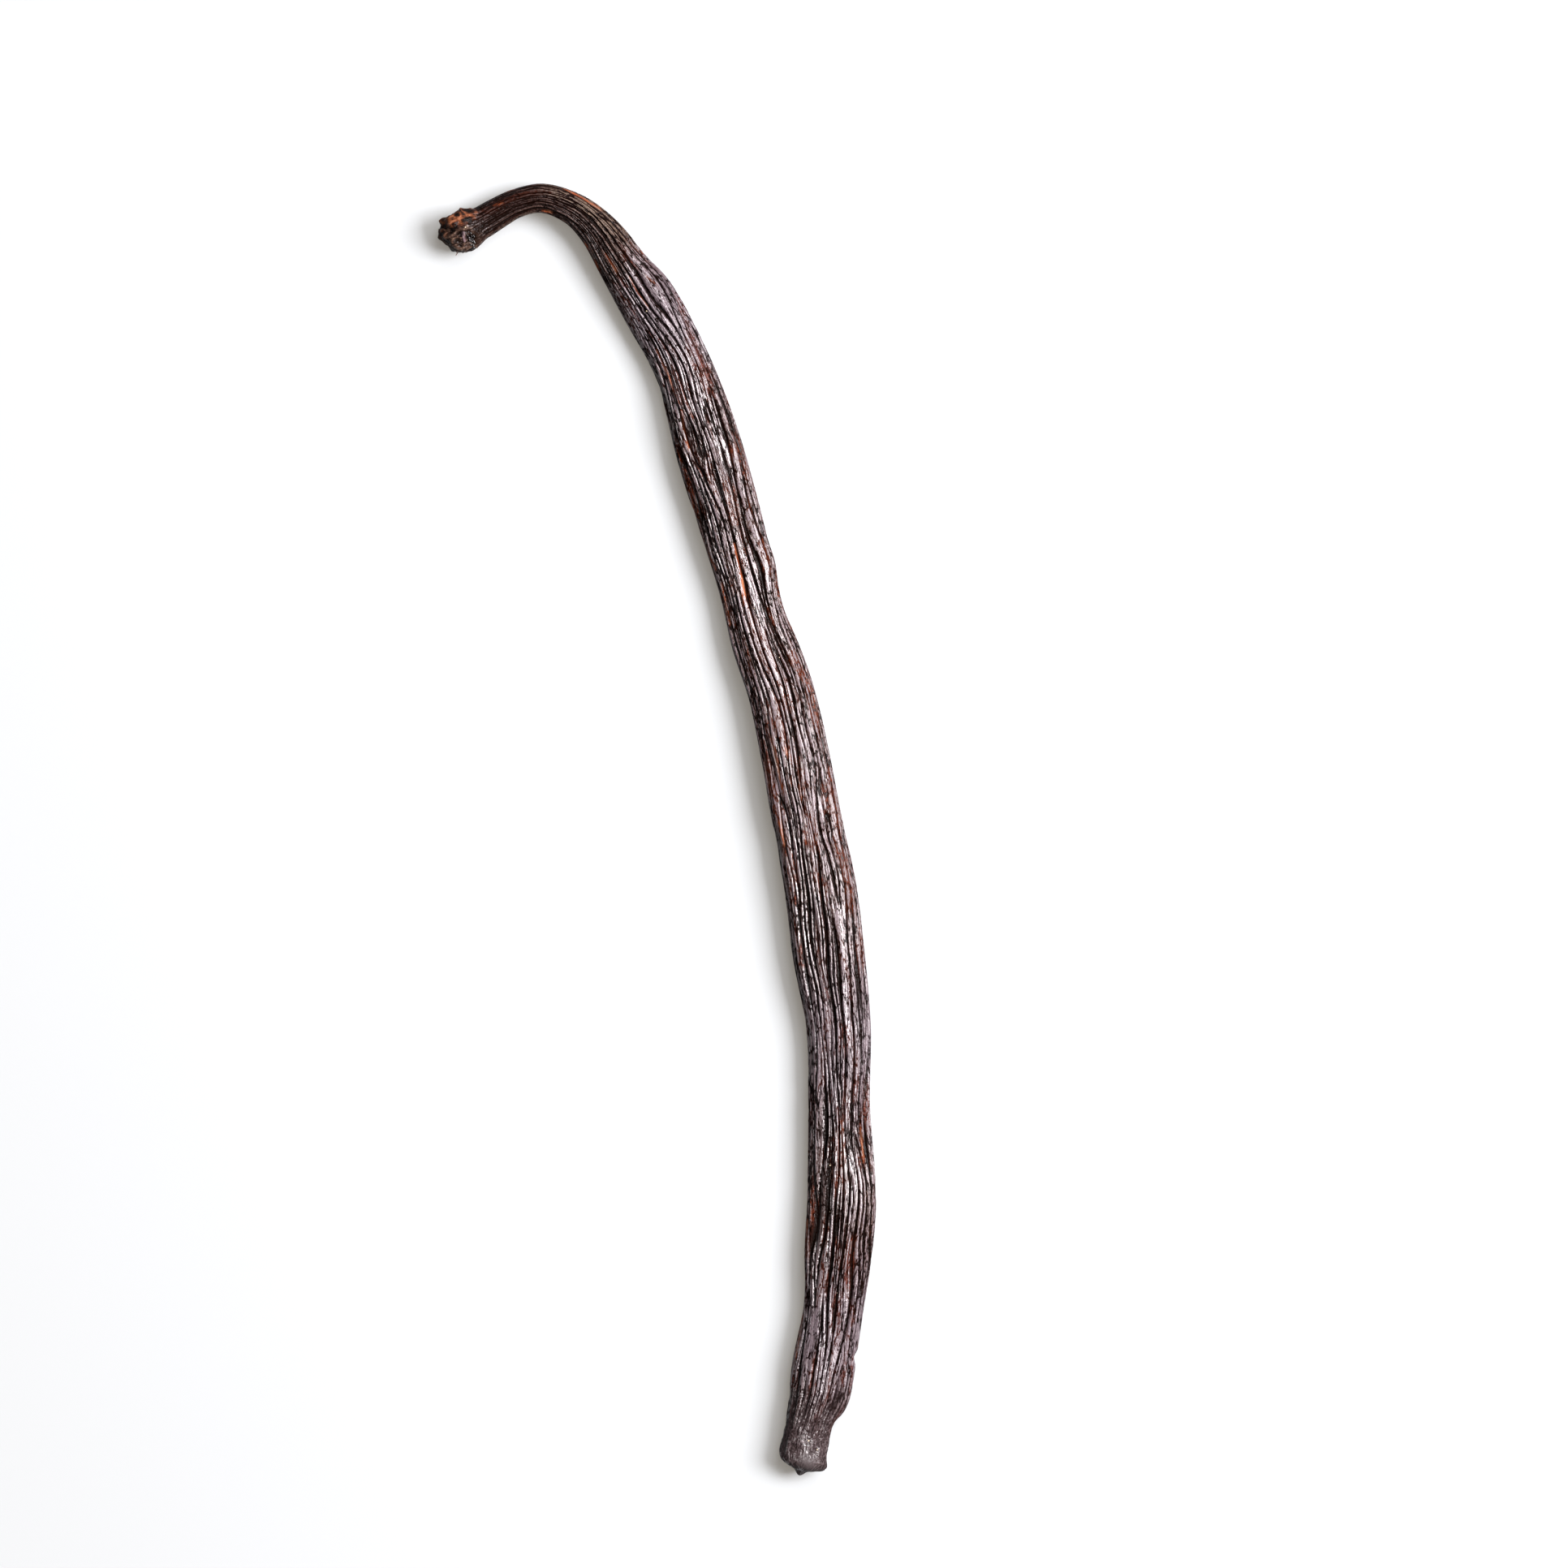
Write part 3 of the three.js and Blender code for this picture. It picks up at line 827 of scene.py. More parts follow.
# How the finish is worked out, step by step. A step has a name, a kind and what it takes, as
# numbers or as the names of marks, patterns and earlier steps. LINEAR and SMOOTHSTEP lead a
# value from one range to another, straight or by an S-curve; the other kinds are plain sums.
RANGE_INPUTS = ("Value", "From Min", "From Max", "To Min", "To Max")
FINISH_STEPS = (
    # Hair-fine furrows, about three to a mm, where the lines pattern crosses its middle.
    ("off_line", "SUBTRACT", "lines", 0.5),
    ("off_line", "ABSOLUTE", "off_line"),
    ("hair", "SMOOTHSTEP", "off_line", 0.0, 0.07, 0.25, 1.0),
    ("hair", "MAXIMUM", "hair", "dull"),
    ("crumbled", "LINEAR", "crumb", 0.3, 0.7, 0.72, 1.15),
    ("fine", "MULTIPLY", "hair", "crumbled"),
    ("height", "MULTIPLY", "relief", "fine"),
    # Red shows in drifts, but not where the skin is dry.
    ("redness", "SMOOTHSTEP", "drift", 0.5, 0.63, 0.0, 0.6),
    ("moist", "SUBTRACT", 1.0, "dull"),
    ("redness", "MULTIPLY", "redness", "moist"),
    # Amber shows on the flanks of ridges where the skin is thin, less on their waxed tops.
    ("thin", "SMOOTHSTEP", "height", 0.55, 0.9, 1.0, 0.35),
    ("ambered", "MULTIPLY", "amber", "thin"),
    # The torn tissue is broken up into crumbs, and its scar into streaks.
    ("half_crag", "MULTIPLY", "crag", 0.5),
    ("ragged", "MULTIPLY_ADD", "crumb", 0.5, "half_crag"),
    ("streaked", "MULTIPLY_ADD", "lines", 0.5, "half_crag"),
    # Dryness dulls most of the colour, but not all.
    ("dulled", "MULTIPLY", "dull", 0.8),
    # Only the tops of the neck's ridges get the painted highlight; the bloom with its painted
    # sheen reaches down to the ridges' feet.
    ("crest", "SMOOTHSTEP", "height", 0.66, 0.94, 0.0, 1.0),
    ("bleached", "MULTIPLY", "pale", "crest"),
    ("foot", "SMOOTHSTEP", "height", 0.3, 0.65, 0.0, 1.0),
    ("bloomed", "MULTIPLY", "bloom", "foot"),
    # The bloom on the ridges spreads the light, most of all where the skin is dry.
    ("rough", "SMOOTHSTEP", "height", 0.3, 0.9, 0.14, 0.34),
    ("dry", "MAXIMUM", "dull", "scar"),
    ("rough", "MULTIPLY_ADD", "dry", 0.3, "rough"),
    # Over the hair-fine furrows lie soft crinkles, and crumbs that are highest on the ridges.
    ("crumb_height", "LINEAR", "height", 0.1, 0.6, 0.5, 1.6),
    ("bumps", "MULTIPLY_ADD", "crinkle", 3.0, "fine"),
    ("bumps", "MULTIPLY_ADD", "crumb", "crumb_height", "bumps"),
    # Oiled ridges and the boss of the blossom scar are sleek.
    ("bump_strength", "LINEAR", "sleek", 0.0, 1.0, 1.0, 0.2),
    # Wax lies on the ridges alone; the furrows stay matt and dark.
    ("waxed", "SMOOTHSTEP", "height", 0.5, 0.66, 0.0, 1.0),
    ("waxed", "MULTIPLY", "waxed", "gloss"),
)

# The layers of colour over the plain skin, from the lowest up: the step or mark that lays it
# on, then either one colour, or what the colour runs along and its stops.
COLOUR_LAYERS = (
    # The red drifts keep the painted shade of the furrows and the painted sheen of the ridge tops.
    (
        "redness",
        "height",
        (0.0, "#080302"),
        (0.35, "#200b06"),
        (0.5, "#52220f"),
        (0.62, "#2c1812"),
        (0.8, "#342825"),
        (1.0, "#433a3d"),
    ),
    # Grey bloom with a painted lavender-grey sheen.
    ("bloomed", "#3e373b"),
    # The neck and the painted shade spots are peat-black, darkest in the furrows by painted shade
    # and browner on the ridges; the neck's ridge tops carry a painted taupe highlight.
    ("dark", "height", (0.35, "#060201"), (0.62, "#120705"), (0.84, "#1c0f0b"), (1.0, "#30231e")),
    ("bleached", "#3c3229"),
    # The blossom end dries to a dull grey-brown.
    ("dulled", "crumb", (0.3, "#0c0808"), (0.5, "#211a1a"), (0.7, "#3a3233")),
    ("boss", "#2c2727"),
    ("ambered", "lines", (0.3, "#260e07"), (0.5, "#582a16"), (0.7, "#80543c")),
    # The torn stem is black and dark brown, with a rust-coloured scar.
    ("torn", "ragged", (0.35, "#060403"), (0.5, "#130c09"), (0.62, "#2c1f19"), (0.75, "#463930")),
    ("pit", "#030202"),
    ("scar", "streaked", (0.42, "#070403"), (0.5, "#200f09"), (0.6, "#432414"), (0.72, "#65402e")),
    # Painted highlight: the lip is lavender-grey.
    ("lip", "#4c3f42"),
)


def cured_skin_material(skin):
    """Cured vanilla skin: leathery, oily plant skin, dried in the sun and sweated.

    Gives the eye furrows made near-black by painted shade, brown flanks, ridges with a grey bloom
    and a painted lavender-grey sheen under a waxy sheen, and amber where the skin is thin.
    """
    material, tree, shader = new_material("cured_vanilla_skin")
    node = functools.partial(add_node, tree)
    value = {}
    for name in SKIN_MARKS:
        value[name] = node("ShaderNodeAttribute", "Fac", {"attribute_name": name})
    grain = node("ShaderNodeAttribute", "Vector", {"attribute_name": "grain"})
    for name, (waves, detail) in PATTERNS.items():
        scaled = node("ShaderNodeVectorMath", 0, {"operation": "MULTIPLY"}, {0: grain, 1: waves})
        inputs = {"Vector": scaled, "Scale": 1.0, "Detail": detail}
        value[name] = node("ShaderNodeTexNoise", "Fac", {}, inputs)

    for name, kind, *given in FINISH_STEPS:
        given = [value.get(one, one) for one in given]
        if kind in ("LINEAR", "SMOOTHSTEP"):
            settings, inputs = {"interpolation_type": kind}, zip(RANGE_INPUTS, given)
            value[name] = node("ShaderNodeMapRange", 0, settings, inputs)
        else:
            value[name] = node("ShaderNodeMath", 0, {"operation": kind}, enumerate(given))

    # The colour runs with the relief: painted shade makes the furrows near-black, and a painted
    # lavender-grey sheen lightens the ridge tops.
    stops = [
        (0.0, skin.furrow_shade_hex),
        (0.5, "#090302"),
        (0.65, skin.flank_hex),
        (0.8, skin.ridge_sheen_hex),
        (0.95, "#463d40"),
    ]
    colour = set_stops(node("ShaderNodeValToRGB", "Color", {}, {"Fac": value["height"]}), stops)
    for share, over, *stops in COLOUR_LAYERS:
        if stops:
            over = set_stops(node("ShaderNodeValToRGB", "Color", {}, {"Fac": value[over]}), stops)
        else:
            over = linear(over)
        inputs = {0: value[share], 6: colour, 7: over}
        colour = node("ShaderNodeMix", 2, {"data_type": "RGBA"}, inputs)

    strength, height = value["bump_strength"], value["bumps"]
    inputs = {"Strength": strength, "Distance": skin.fine_depth, "Height": height}
    bump = node("ShaderNodeBump", 0, {}, inputs)
    tree.links.new(colour, shader.inputs["Base Color"])
    tree.links.new(value["rough"], shader.inputs["Roughness"])
    tree.links.new(bump, shader.inputs["Normal"])
    tree.links.new(value["waxed"], shader.inputs["Coat Weight"])
    tree.links.new(bump, shader.inputs["Coat Normal"])
    shader.inputs["Coat Roughness"].default_value = 0.34
    shader.inputs["Coat IOR"].default_value = 1.6
    shader.inputs["IOR"].default_value = 1.5
    shader.inputs["Specular IOR Level"].default_value = 0.03
    return material


def lay_out(mesh, grid, poles):
    """Gives the skin its own map: strips side by side, each an equal share of the run.

    Across a strip goes once round the pod, and up it goes the way travelled over the skin. The
    ring that two strips share lies in both, so that every face stays whole.
    """
    ends = [np.broadcast_to(pole, grid[:1].shape) for pole in poles]
    rings = np.concatenate([ends[0], grid, ends[1]])
    steps = np.linalg.norm(np.diff(rings, axis=0), axis=2).mean(1)
    run = np.r_[0, np.cumsum(steps)]
    strip = np.floor(MAP_STRIPS * (run[1:] - steps / 2) / run[-1]).astype(int)
    first = np.searchsorted(strip, np.arange(MAP_STRIPS))
    last = np.r_[first[1:], len(strip)]
    start, longest = run[first][strip], (run[last] - run[first]).max()
    low, high = (run[:-1] - start) / longest, (run[1:] - start) / longest

    def corners(bands, columns, heights):
        """Map places of faces: one row of faces for each band, one value for each corner."""
        u = columns[None, :, :] * (1 - 2 * MAP_GAP) + MAP_GAP + strip[bands][:, None, None]
        v = heights[:, None, :] * (1 - 2 * MAP_GAP / MAP_STRIPS) + MAP_GAP / MAP_STRIPS
        return np.stack(np.broadcast_arrays(u / MAP_STRIPS, v), axis=-1).reshape(-1, 2)

    k = np.arange(AROUND)[:, None]
    knob, quads, tip = [0], np.arange(1, len(strip) - 1), [-1]
    places = [
        corners(bands, (k + np.array(steps)) / AROUND, np.stack(heights, axis=-1)[bands])
        for bands, steps, heights in (
            (knob, (0.5, 1, 0), (low, high, high)),
            (quads, (0, 1, 1, 0), (low, low, high, high)),
            (tip, (0.5, 0, 1), (high, low, low)),
        )
    ]
    layer = mesh.uv_layers.new(name=MAP_NAME)
    layer.uv.foreach_set("vector", np.concatenate(places).astype(np.float32).ravel())


def finish_marks(side, distance, made, seed):
    """The marks that the finish has besides those of the form."""
    neck = neck_at(side, distance)
    inner = inner_at(side)
    amber = np.zeros(distance.shape)
    for course, width, strength in AMBER_STREAKS:
        amber = np.maximum(amber, strength * bell(plan_distance(made.point, course), 0, width))

    # The painted highlight lies on the neck's outer side, and a little on its lower side near the
    # knob.
    lower = smooth(turns_between(side, 0.4), -0.04, 0.04)
    pale = smooth(distance, 9, 13) * bell(distance, 17, 8) * (1 - inner)
    pale = np.maximum(pale, 0.4 * bell(distance, 8, 5) * lower)

    # The bloom and its painted sheen are thin on the left flank, the side away from the light, and
    # stop at the neck.
    bloom = np.max([thick * bell(distance, at, reach) for at, reach, thick in BLOOM_SHEEN_STRETCHES], axis=0)
    bloom = bloom * (1 - neck) * (1 - 0.7 * bell(turns_between(side, 0.5), 0, 0.08))

    gloss = gloss_at(side, distance, seed)
    unwaxed = ((neck, 0.75), (made.marks["boss"], 0.7), (made.marks["torn"], 0.5), (bloom, 0.4))
    for mark, taken in unwaxed:
        gloss = gloss * (1 - taken * mark)
    return {
        "amber": amber * smooth(made.normal[..., 2], -0.3, 0.1),
        "pale": pale * neck,
        "dull": smooth(distance, LENGTH - 11, LENGTH - 1),
        # The neck is peat-black, a little darker on the inner side of its bend; the painted shade
        # spots darken the lower valley and the tip's left flank.
        "dark": np.maximum(neck * (0.75 + 0.25 * inner), spots_at(side, distance, PAINTED_SHADE_SPOTS)),
        "gloss": gloss,
        "bloom": bloom,
    }


def build_pod(skin):
    """The whole skin as one closed grid, with its marks and its own map."""
    wrinkles = Wrinkles(skin.seed, skin.ridge_pitch / MM)
    side, ring = pod_grid()
    made = skin_at(side, ring, wrinkles, skin.ridge_depth / MM)
    poles = []
    for distance, cap, way in ((0.0, KNOB_CAP, -1), (LENGTH, TIP_CAP, 1)):
        pole_ring = cap_ring(np.zeros((1, 1)), distance, cap, way)
        poles.append(skin_at(np.zeros((1, 1)), pole_ring, wrinkles, 0.0).point.reshape(1, 3))
    shape = made.point.shape[:2]
    points = np.concatenate([poles[0], made.point.reshape(-1, 3), poles[1]])
    mesh = new_mesh("pod", points, tube_faces(*shape))

    def add_mark(name, kind, values):
        """Stores values of the grid, and the mean of each end's ring at its pole."""
        flat = values.reshape(math.prod(shape), -1)
        first, last = values[0].mean(0), values[-1].mean(0)
        values = np.concatenate([first.reshape(1, -1), flat, last.reshape(1, -1)])
        add_value(mesh, name, kind, values)

    side = np.broadcast_to(side, shape)
    distance = np.broadcast_to(ring.distance + ring.out, shape)
    marks = {**made.marks, **finish_marks(side, distance, made, skin.seed)}
    for name in SKIN_MARKS:
        add_mark(name, "FLOAT", marks[name])
    radius = girth_at(np.clip(distance, 0, LENGTH)) / TURN
    turn = TURN * side
    grain = np.stack([radius * np.cos(turn), radius * np.sin(turn), distance], axis=-1)
    add_mark("grain", "FLOAT_VECTOR", grain)
    lay_out(mesh, made.point, poles)
    return mesh


# --- Small pieces that lie on the skin ---

# Strings of oil beads in the furrows: their course from above, how many, and their radius.
BEAD_STRINGS = [
    ([(2.1, 55.9), (2.6, 53.7)], 9, 0.07),
    ([(3.5, 54.4), (3.8, 53.6)], 5, 0.06),
    ([(4.7, 51.7), (5.4, 51.0)], 5, 0.07),
    ([(5.2, 54.0), (5.9, 51.6), (6.7, 49.3)], 12, 0.07),
    ([(6.5, 45.3), (8.7, 42.9)], 12, 0.075),
    ([(5.2, 42.1), (7.0, 40.2)], 12, 0.08),
    ([(11.0, 33.9), (11.3, 31.6)], 9, 0.06),
    ([(13.6, 16.4), (13.9, 15.3)], 4, 0.06),
    ([(14.5, 13.0), (14.9, 12.0)], 4, 0.06),
    ([(19.4, 13.3), (19.6, 12.5)], 4, 0.06),
    ([(19.0, 7.6), (19.3, 6.6)], 4, 0.06),
    ([(19.0, -36.4), (19.4, -37.4)], 5, 0.06),
    ([(23.6, -40.0), (24.0, -40.6)], 8, 0.085),
    ([(-1.9, 67.3), (-1.6, 66.8)], 3, 0.07),
    ([(-2.5, 66.2), (-2.2, 65.6)], 3, 0.07),
    ([(-3.6, 64.7), (-3.2, 64.2)], 3, 0.08),
    ([(0.2, 64.0), (0.5, 63.6)], 3, 0.07),
    ([(1.5, 61.4), (1.8, 60.8)], 3, 0.07),
    ([(20.1, -9.0), (20.9, -14.5)], 10, 0.055),
    ([(17.4, -2.0), (18.2, -7.0)], 9, 0.055),
    ([(20.9, -20.0), (21.4, -26.0)], 10, 0.055),
    ([(10.8, 28.0), (12.0, 22.0)], 10, 0.055),
    ([(19.6, -45.0), (19.6, -52.0)], 12, 0.05),
    ([(-23.1, 73.6), (-22.3, 73.1)], 5, 0.13),
    ([(-23.2, 73.2), (-22.2, 72.7)], 6, 0.14),
    ([(-23.1, 72.8), (-22.2, 72.3)], 6, 0.14),
    ([(-23.0, 72.3), (-22.3, 71.9)], 5, 0.13),
    ([(-24.9, 74.1), (-24.2, 74.6)], 6, 0.07),
    ([(-20.9, 77.0), (-19.1, 76.3), (-17.3, 77.3), (-16.5, 76.6)], 6, 0.05),
]
# How far they stray from it, how far their middles stand out, by their radius, and their mesh.
BEAD_SEED = 11
BEAD_SCATTER = 0.11
BEAD_RISE = 0.6
BEAD_RINGS, BEAD_AROUND = 4, 6

# Pale flecks of dry husk: where, and their radius; how far they stand out, and how flat.
FLECK_RISE = 0.02
FLECK_SQUASH = 0.55
FLECKS = [
    (-1.03, 63.75, 0.09),
    (21.5, -41.45, 0.1),
    (21.45, -47.05, 0.11),
    (18.8, -75.15, 0.11),
    (19.87, -76.35, 0.09),
    (-23.48, 74.09, 0.1),
    (15.2, 21.4, 0.07),
    (12.1, 27.3, 0.06),
    (22.3, -57.2, 0.07),
]

# Stray fibres: their radius, how far above the skin each point is, and their path from above.
FIBRES = [
    (
        0.075,
        (-0.1, 0.1, 0.1, 0),
        [(-24.4, 71.4), (-24.46, 71.15), (-24.56, 70.95), (-24.64, 70.78)],
    ),
    (0.022, (-0.05, 0.15, 0.2, 0), [(15.9, 25.7), (16.5, 25.3), (16.8, 24.8), (16.5, 24.5)]),
    (0.022, (0, 0.12, 0.12, 0), [(21.5, -41.0), (21.7, -41.8), (21.5, -42.6), (21.8, -43.2)]),
    (0.02, (0, 0.2, 0.2, 0), [(25.6, -44.2), (26.0, -44.9), (25.6, -45.6), (26.0, -46.2)]),
]
FIBRE_STEPS, FIBRE_AROUND = 24, 6

# How dark the mottling of these small pieces is against their colour.
DARK_MOTTLE = 0.4


def along(course, shares):
    """Points at shares of the way along a course of straight stretches."""
    course = np.array(course, float)
    run = np.r_[0, np.cumsum(np.linalg.norm(np.diff(course, axis=0), axis=1))]
    return np.stack([np.interp(shares * run[-1], run, axis) for axis in course.T], axis=-1)


def on_skin(plan, pod):
    """The skin point seen at each place from above, and the way the skin faces there."""
    count = len(pod.data.vertices)
    point, normal = np.empty(count * 3, np.float32), np.empty(count * 3, np.float32)
    pod.data.vertices.foreach_get("co", point)
    pod.data.vertices.foreach_get("normal", normal)
    point, normal = point.reshape(-1, 3) / MM, normal.reshape(-1, 3)
    seen = normal[:, 2] > 0.05
    point, normal = point[seen], normal[seen]
    apart = ((plan[:, None] - point[None, :, :2]) ** 2).sum(-1)
    nearest = apart.argmin(1)
    return point[nearest], normal[nearest]


def bead_mesh(name, middle, radius, squash):
    """Little balls, each a sphere of a few rings, pressed flat by a share along Z."""
    latitude = np.pi * np.arange(1, BEAD_RINGS)[:, None] / BEAD_RINGS
    longitude = -TURN * np.arange(BEAD_AROUND) / BEAD_AROUND
    out, up = np.sin(latitude), np.cos(latitude) + 0 * longitude
    rings = np.stack([out * np.cos(longitude), out * np.sin(longitude), up], axis=-1)
    ball = np.concatenate([[[0, 0, 1]], rings.reshape(-1, 3), [[0, 0, -1]]]) * (1, 1, squash)
    points = middle[:, None] + radius[:, None, None] * ball
    faces = []
    for k in range(len(middle)):
        faces += moved_on(tube_faces(BEAD_RINGS - 1, BEAD_AROUND), k * len(ball))
    return new_mesh(name, points.reshape(-1, 3), faces)


def build_beads(pod):
    """Oil beads along their strings, each sunk a little into the skin."""
    rng = np.random.default_rng(BEAD_SEED)
    plan, radius = [], []
    for course, count, size in BEAD_STRINGS:
        shares = (np.arange(count) + rng.uniform(0.1, 0.9, count)) / count
        plan.append(along(course, shares) + rng.normal(0, BEAD_SCATTER, (count, 2)))
        radius.append(size * rng.uniform(0.75, 1.3, count))
    plan, radius = np.concatenate(plan), np.concatenate(radius)
    point, normal = on_skin(plan, pod)
    return bead_mesh("oil_beads", point + BEAD_RISE * radius[:, None] * normal, radius, 1.0)


def build_flecks(pod):
    """Flat chips of husk stuck to the skin."""
    place = np.array(FLECKS)
    point, normal = on_skin(place[:, :2], pod)
    return bead_mesh("husk_flecks", point + FLECK_RISE * normal, place[:, 2], FLECK_SQUASH)


def build_fibres(pod):
    """Fibres: a round section carried along a curve through the points of each path."""
    shares = np.linspace(0, 1, FIBRE_STEPS)
    points, faces = [], []
    for radius, rise, path in FIBRES:
        path = np.array(path, float)
        seat, normal = on_skin(path, pod)
        line = seat + np.array(rise)[:, None] * normal
        line[:, :2] = path
        knots = np.linspace(0, 1, len(line))
        powers = np.vander(knots, len(line))
        curve = np.vander(shares, len(line)) @ np.linalg.solve(powers, line)
        ahead = np.gradient(curve, axis=0)
        ahead /= np.linalg.norm(ahead, axis=1, keepdims=True)
        right = np.cross(ahead, (0, 0, 1))
        right /= np.linalg.norm(right, axis=1, keepdims=True)
        over = np.cross(right, ahead)
        turn = -TURN * np.arange(FIBRE_AROUND) / FIBRE_AROUND
        taper = radius * (1 - 0.5 * shares)
        section = right[:, None] * np.cos(turn)[:, None] + over[:, None] * np.sin(turn)[:, None]
        tube = curve[:, None] + taper[:, None, None] * section
        start = sum(len(p) for p in points)
        faces += moved_on(tube_faces(FIBRE_STEPS, FIBRE_AROUND), start)
        points.append(np.concatenate([curve[:1], tube.reshape(-1, 3), curve[-1:]]))
    points = np.concatenate(points)
    points[:, 2] = np.maximum(points[:, 2], 0)
    return new_mesh("stray_fibres", points, faces)


def small_material(name, colour, roughness):
    """A material with one colour, mottled dark and light about every tenth of a millimetre."""
    material, tree, shader = new_material(name)
    place = add_node(tree, "ShaderNodeTexCoord", "Object")
    inputs = {"Vector": place, "Scale": 9 / MM, "Detail": 2.0}
    mottle = add_node(tree, "ShaderNodeTexNoise", "Fac", {}, inputs)
    darker = (*(DARK_MOTTLE * part for part in linear(colour)[:3]), 1.0)
    inputs = {0: mottle, 6: linear(colour), 7: darker}
    toned = add_node(tree, "ShaderNodeMix", 2, {"data_type": "RGBA"}, inputs)
    tree.links.new(toned, shader.inputs["Base Color"])
    shader.inputs["Roughness"].default_value = roughness
    return material


# --- Settings, operators and panel ---


def setting(name, description, default, **more):
    """A setting with its name, description and default: text for a colour, else a number."""
    kind = bpy.props.StringProperty if isinstance(default, str) else bpy.props.FloatProperty
    return kind(name=name, description=description, default=default, **more)


IN_METRES = {"unit": "LENGTH", "precision": 6}


class VanillaSkin(bpy.types.PropertyGroup):
    ridge_pitch: setting(
        "Ridge pitch", "From one fine ridge of the skin to the next", 0.00047, **IN_METRES
    )
    ridge_depth: setting(
        "Ridge depth", "From the bottom of a furrow to the top of a ridge", 0.0004, **IN_METRES
    )
    fine_depth: setting(
        "Fine wrinkle depth", "Height of the hair-fine wrinkles", 0.000025, **IN_METRES
    )
    # Painted shade: the colour deep in the furrows.
    furrow_shade_hex: setting("Furrow colour", "sRGB colour in the furrows", "#050201")
    flank_hex: setting("Flank colour", "sRGB colour between furrow and ridge", "#1c0d09")
    # The ridges' grey bloom with a painted lavender-grey sheen.
    ridge_sheen_hex: setting("Ridge colour", "sRGB colour of the ridges' bloom", "#342825")
    seed: bpy.props.IntProperty(
        name="Seed", description="Which pattern of wrinkles is drawn", default=7, min=0
    )


class VanillaStage(bpy.types.PropertyGroup):
    table_hex: setting("Table colour", "sRGB colour of the table", "#6a6e70")
    shade_hex: setting("Shade colour", "sRGB colour that the room gives the shadows", "#b6ada0")
    shade: setting("Shade", "How much the room lights the shadows on the table", 0.42)
    top_power: setting(
        "Top softbox", "Power of the softbox beyond the stem end", 14.0, unit="POWER"
    )
    right_power: setting(
        "Right softbox", "Power of the softbox at the right", 58.0, unit="POWER"
    )
    overhead_power: setting(
        "Overhead softbox", "Power of the wide softbox overhead", 20.0, unit="POWER"
    )
    room_hex: setting("Room colour", "sRGB colour of the room's walls", "#f2e6da")
    fill: setting("Fill", "Strength of the even light from all sides", 0.025)


class VANILLA_OT_add_pod(bpy.types.Operator):
    """Adds the pod's wrinkled skin in place of the plain solid"""

    bl_idname = "vanilla.add_pod"
    bl_label = "Add pod"

    def execute(self, context):
        skin = context.scene.vanilla_skin
        pod = new_piece("vanilla_pod", build_pod(skin), cured_skin_material(skin))
        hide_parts("pod")
        return {"FINISHED"}


class VANILLA_OT_add_beads(bpy.types.Operator):
    """Adds the beads of oil that sweat out along the furrows and in the torn stem"""

    bl_idname = "vanilla.add_beads"
    bl_label = "Add oil beads"

    def execute(self, context):
        pod = bpy.data.objects["vanilla_pod"]
        # Vanilla oil, sweated out and set: black tacky beads, each with a sharp glint.
        new_piece("oil_beads", build_beads(pod), small_material("vanilla_oil", "#0a0504", 0.2))
        return {"FINISHED"}


class VANILLA_OT_add_scraps(bpy.types.Operator):
    """Adds the pale flecks of husk and the stray fibres"""

    bl_idname = "vanilla.add_scraps"
    bl_label = "Add flecks and fibres"

    def execute(self, context):
        pod = bpy.data.objects["vanilla_pod"]
        # Dry husk, flaked off: matt straw-coloured specks. Torn plant fibre: brown, barely shiny.
        new_piece("husk_flecks", build_flecks(pod), small_material("dry_husk", "#8f8068", 0.6))
        new_piece("stray_fibres", build_fibres(pod), small_material("plant_fibre", "#4a2a1a", 0.5))
        return {"FINISHED"}


# The view from above, in mm: how wide it is at half the pod's height, and where its middle
# lies; then the camera's height and the reach of the table either way, in metres.
FRAME_WIDTH = 193.2
FRAME_LEVEL = 2.4
FRAME_MIDDLE = (15.8, 5.65)
SENSOR_WIDTH = 36
CAMERA_HEIGHT = 1.2
TABLE_REACH = 1.5

# How bright the room is where the camera sees it past the table, and the softboxes' colour.
ROOM_SEEN = 0.8
LIGHT_HEX = "#fffafc"


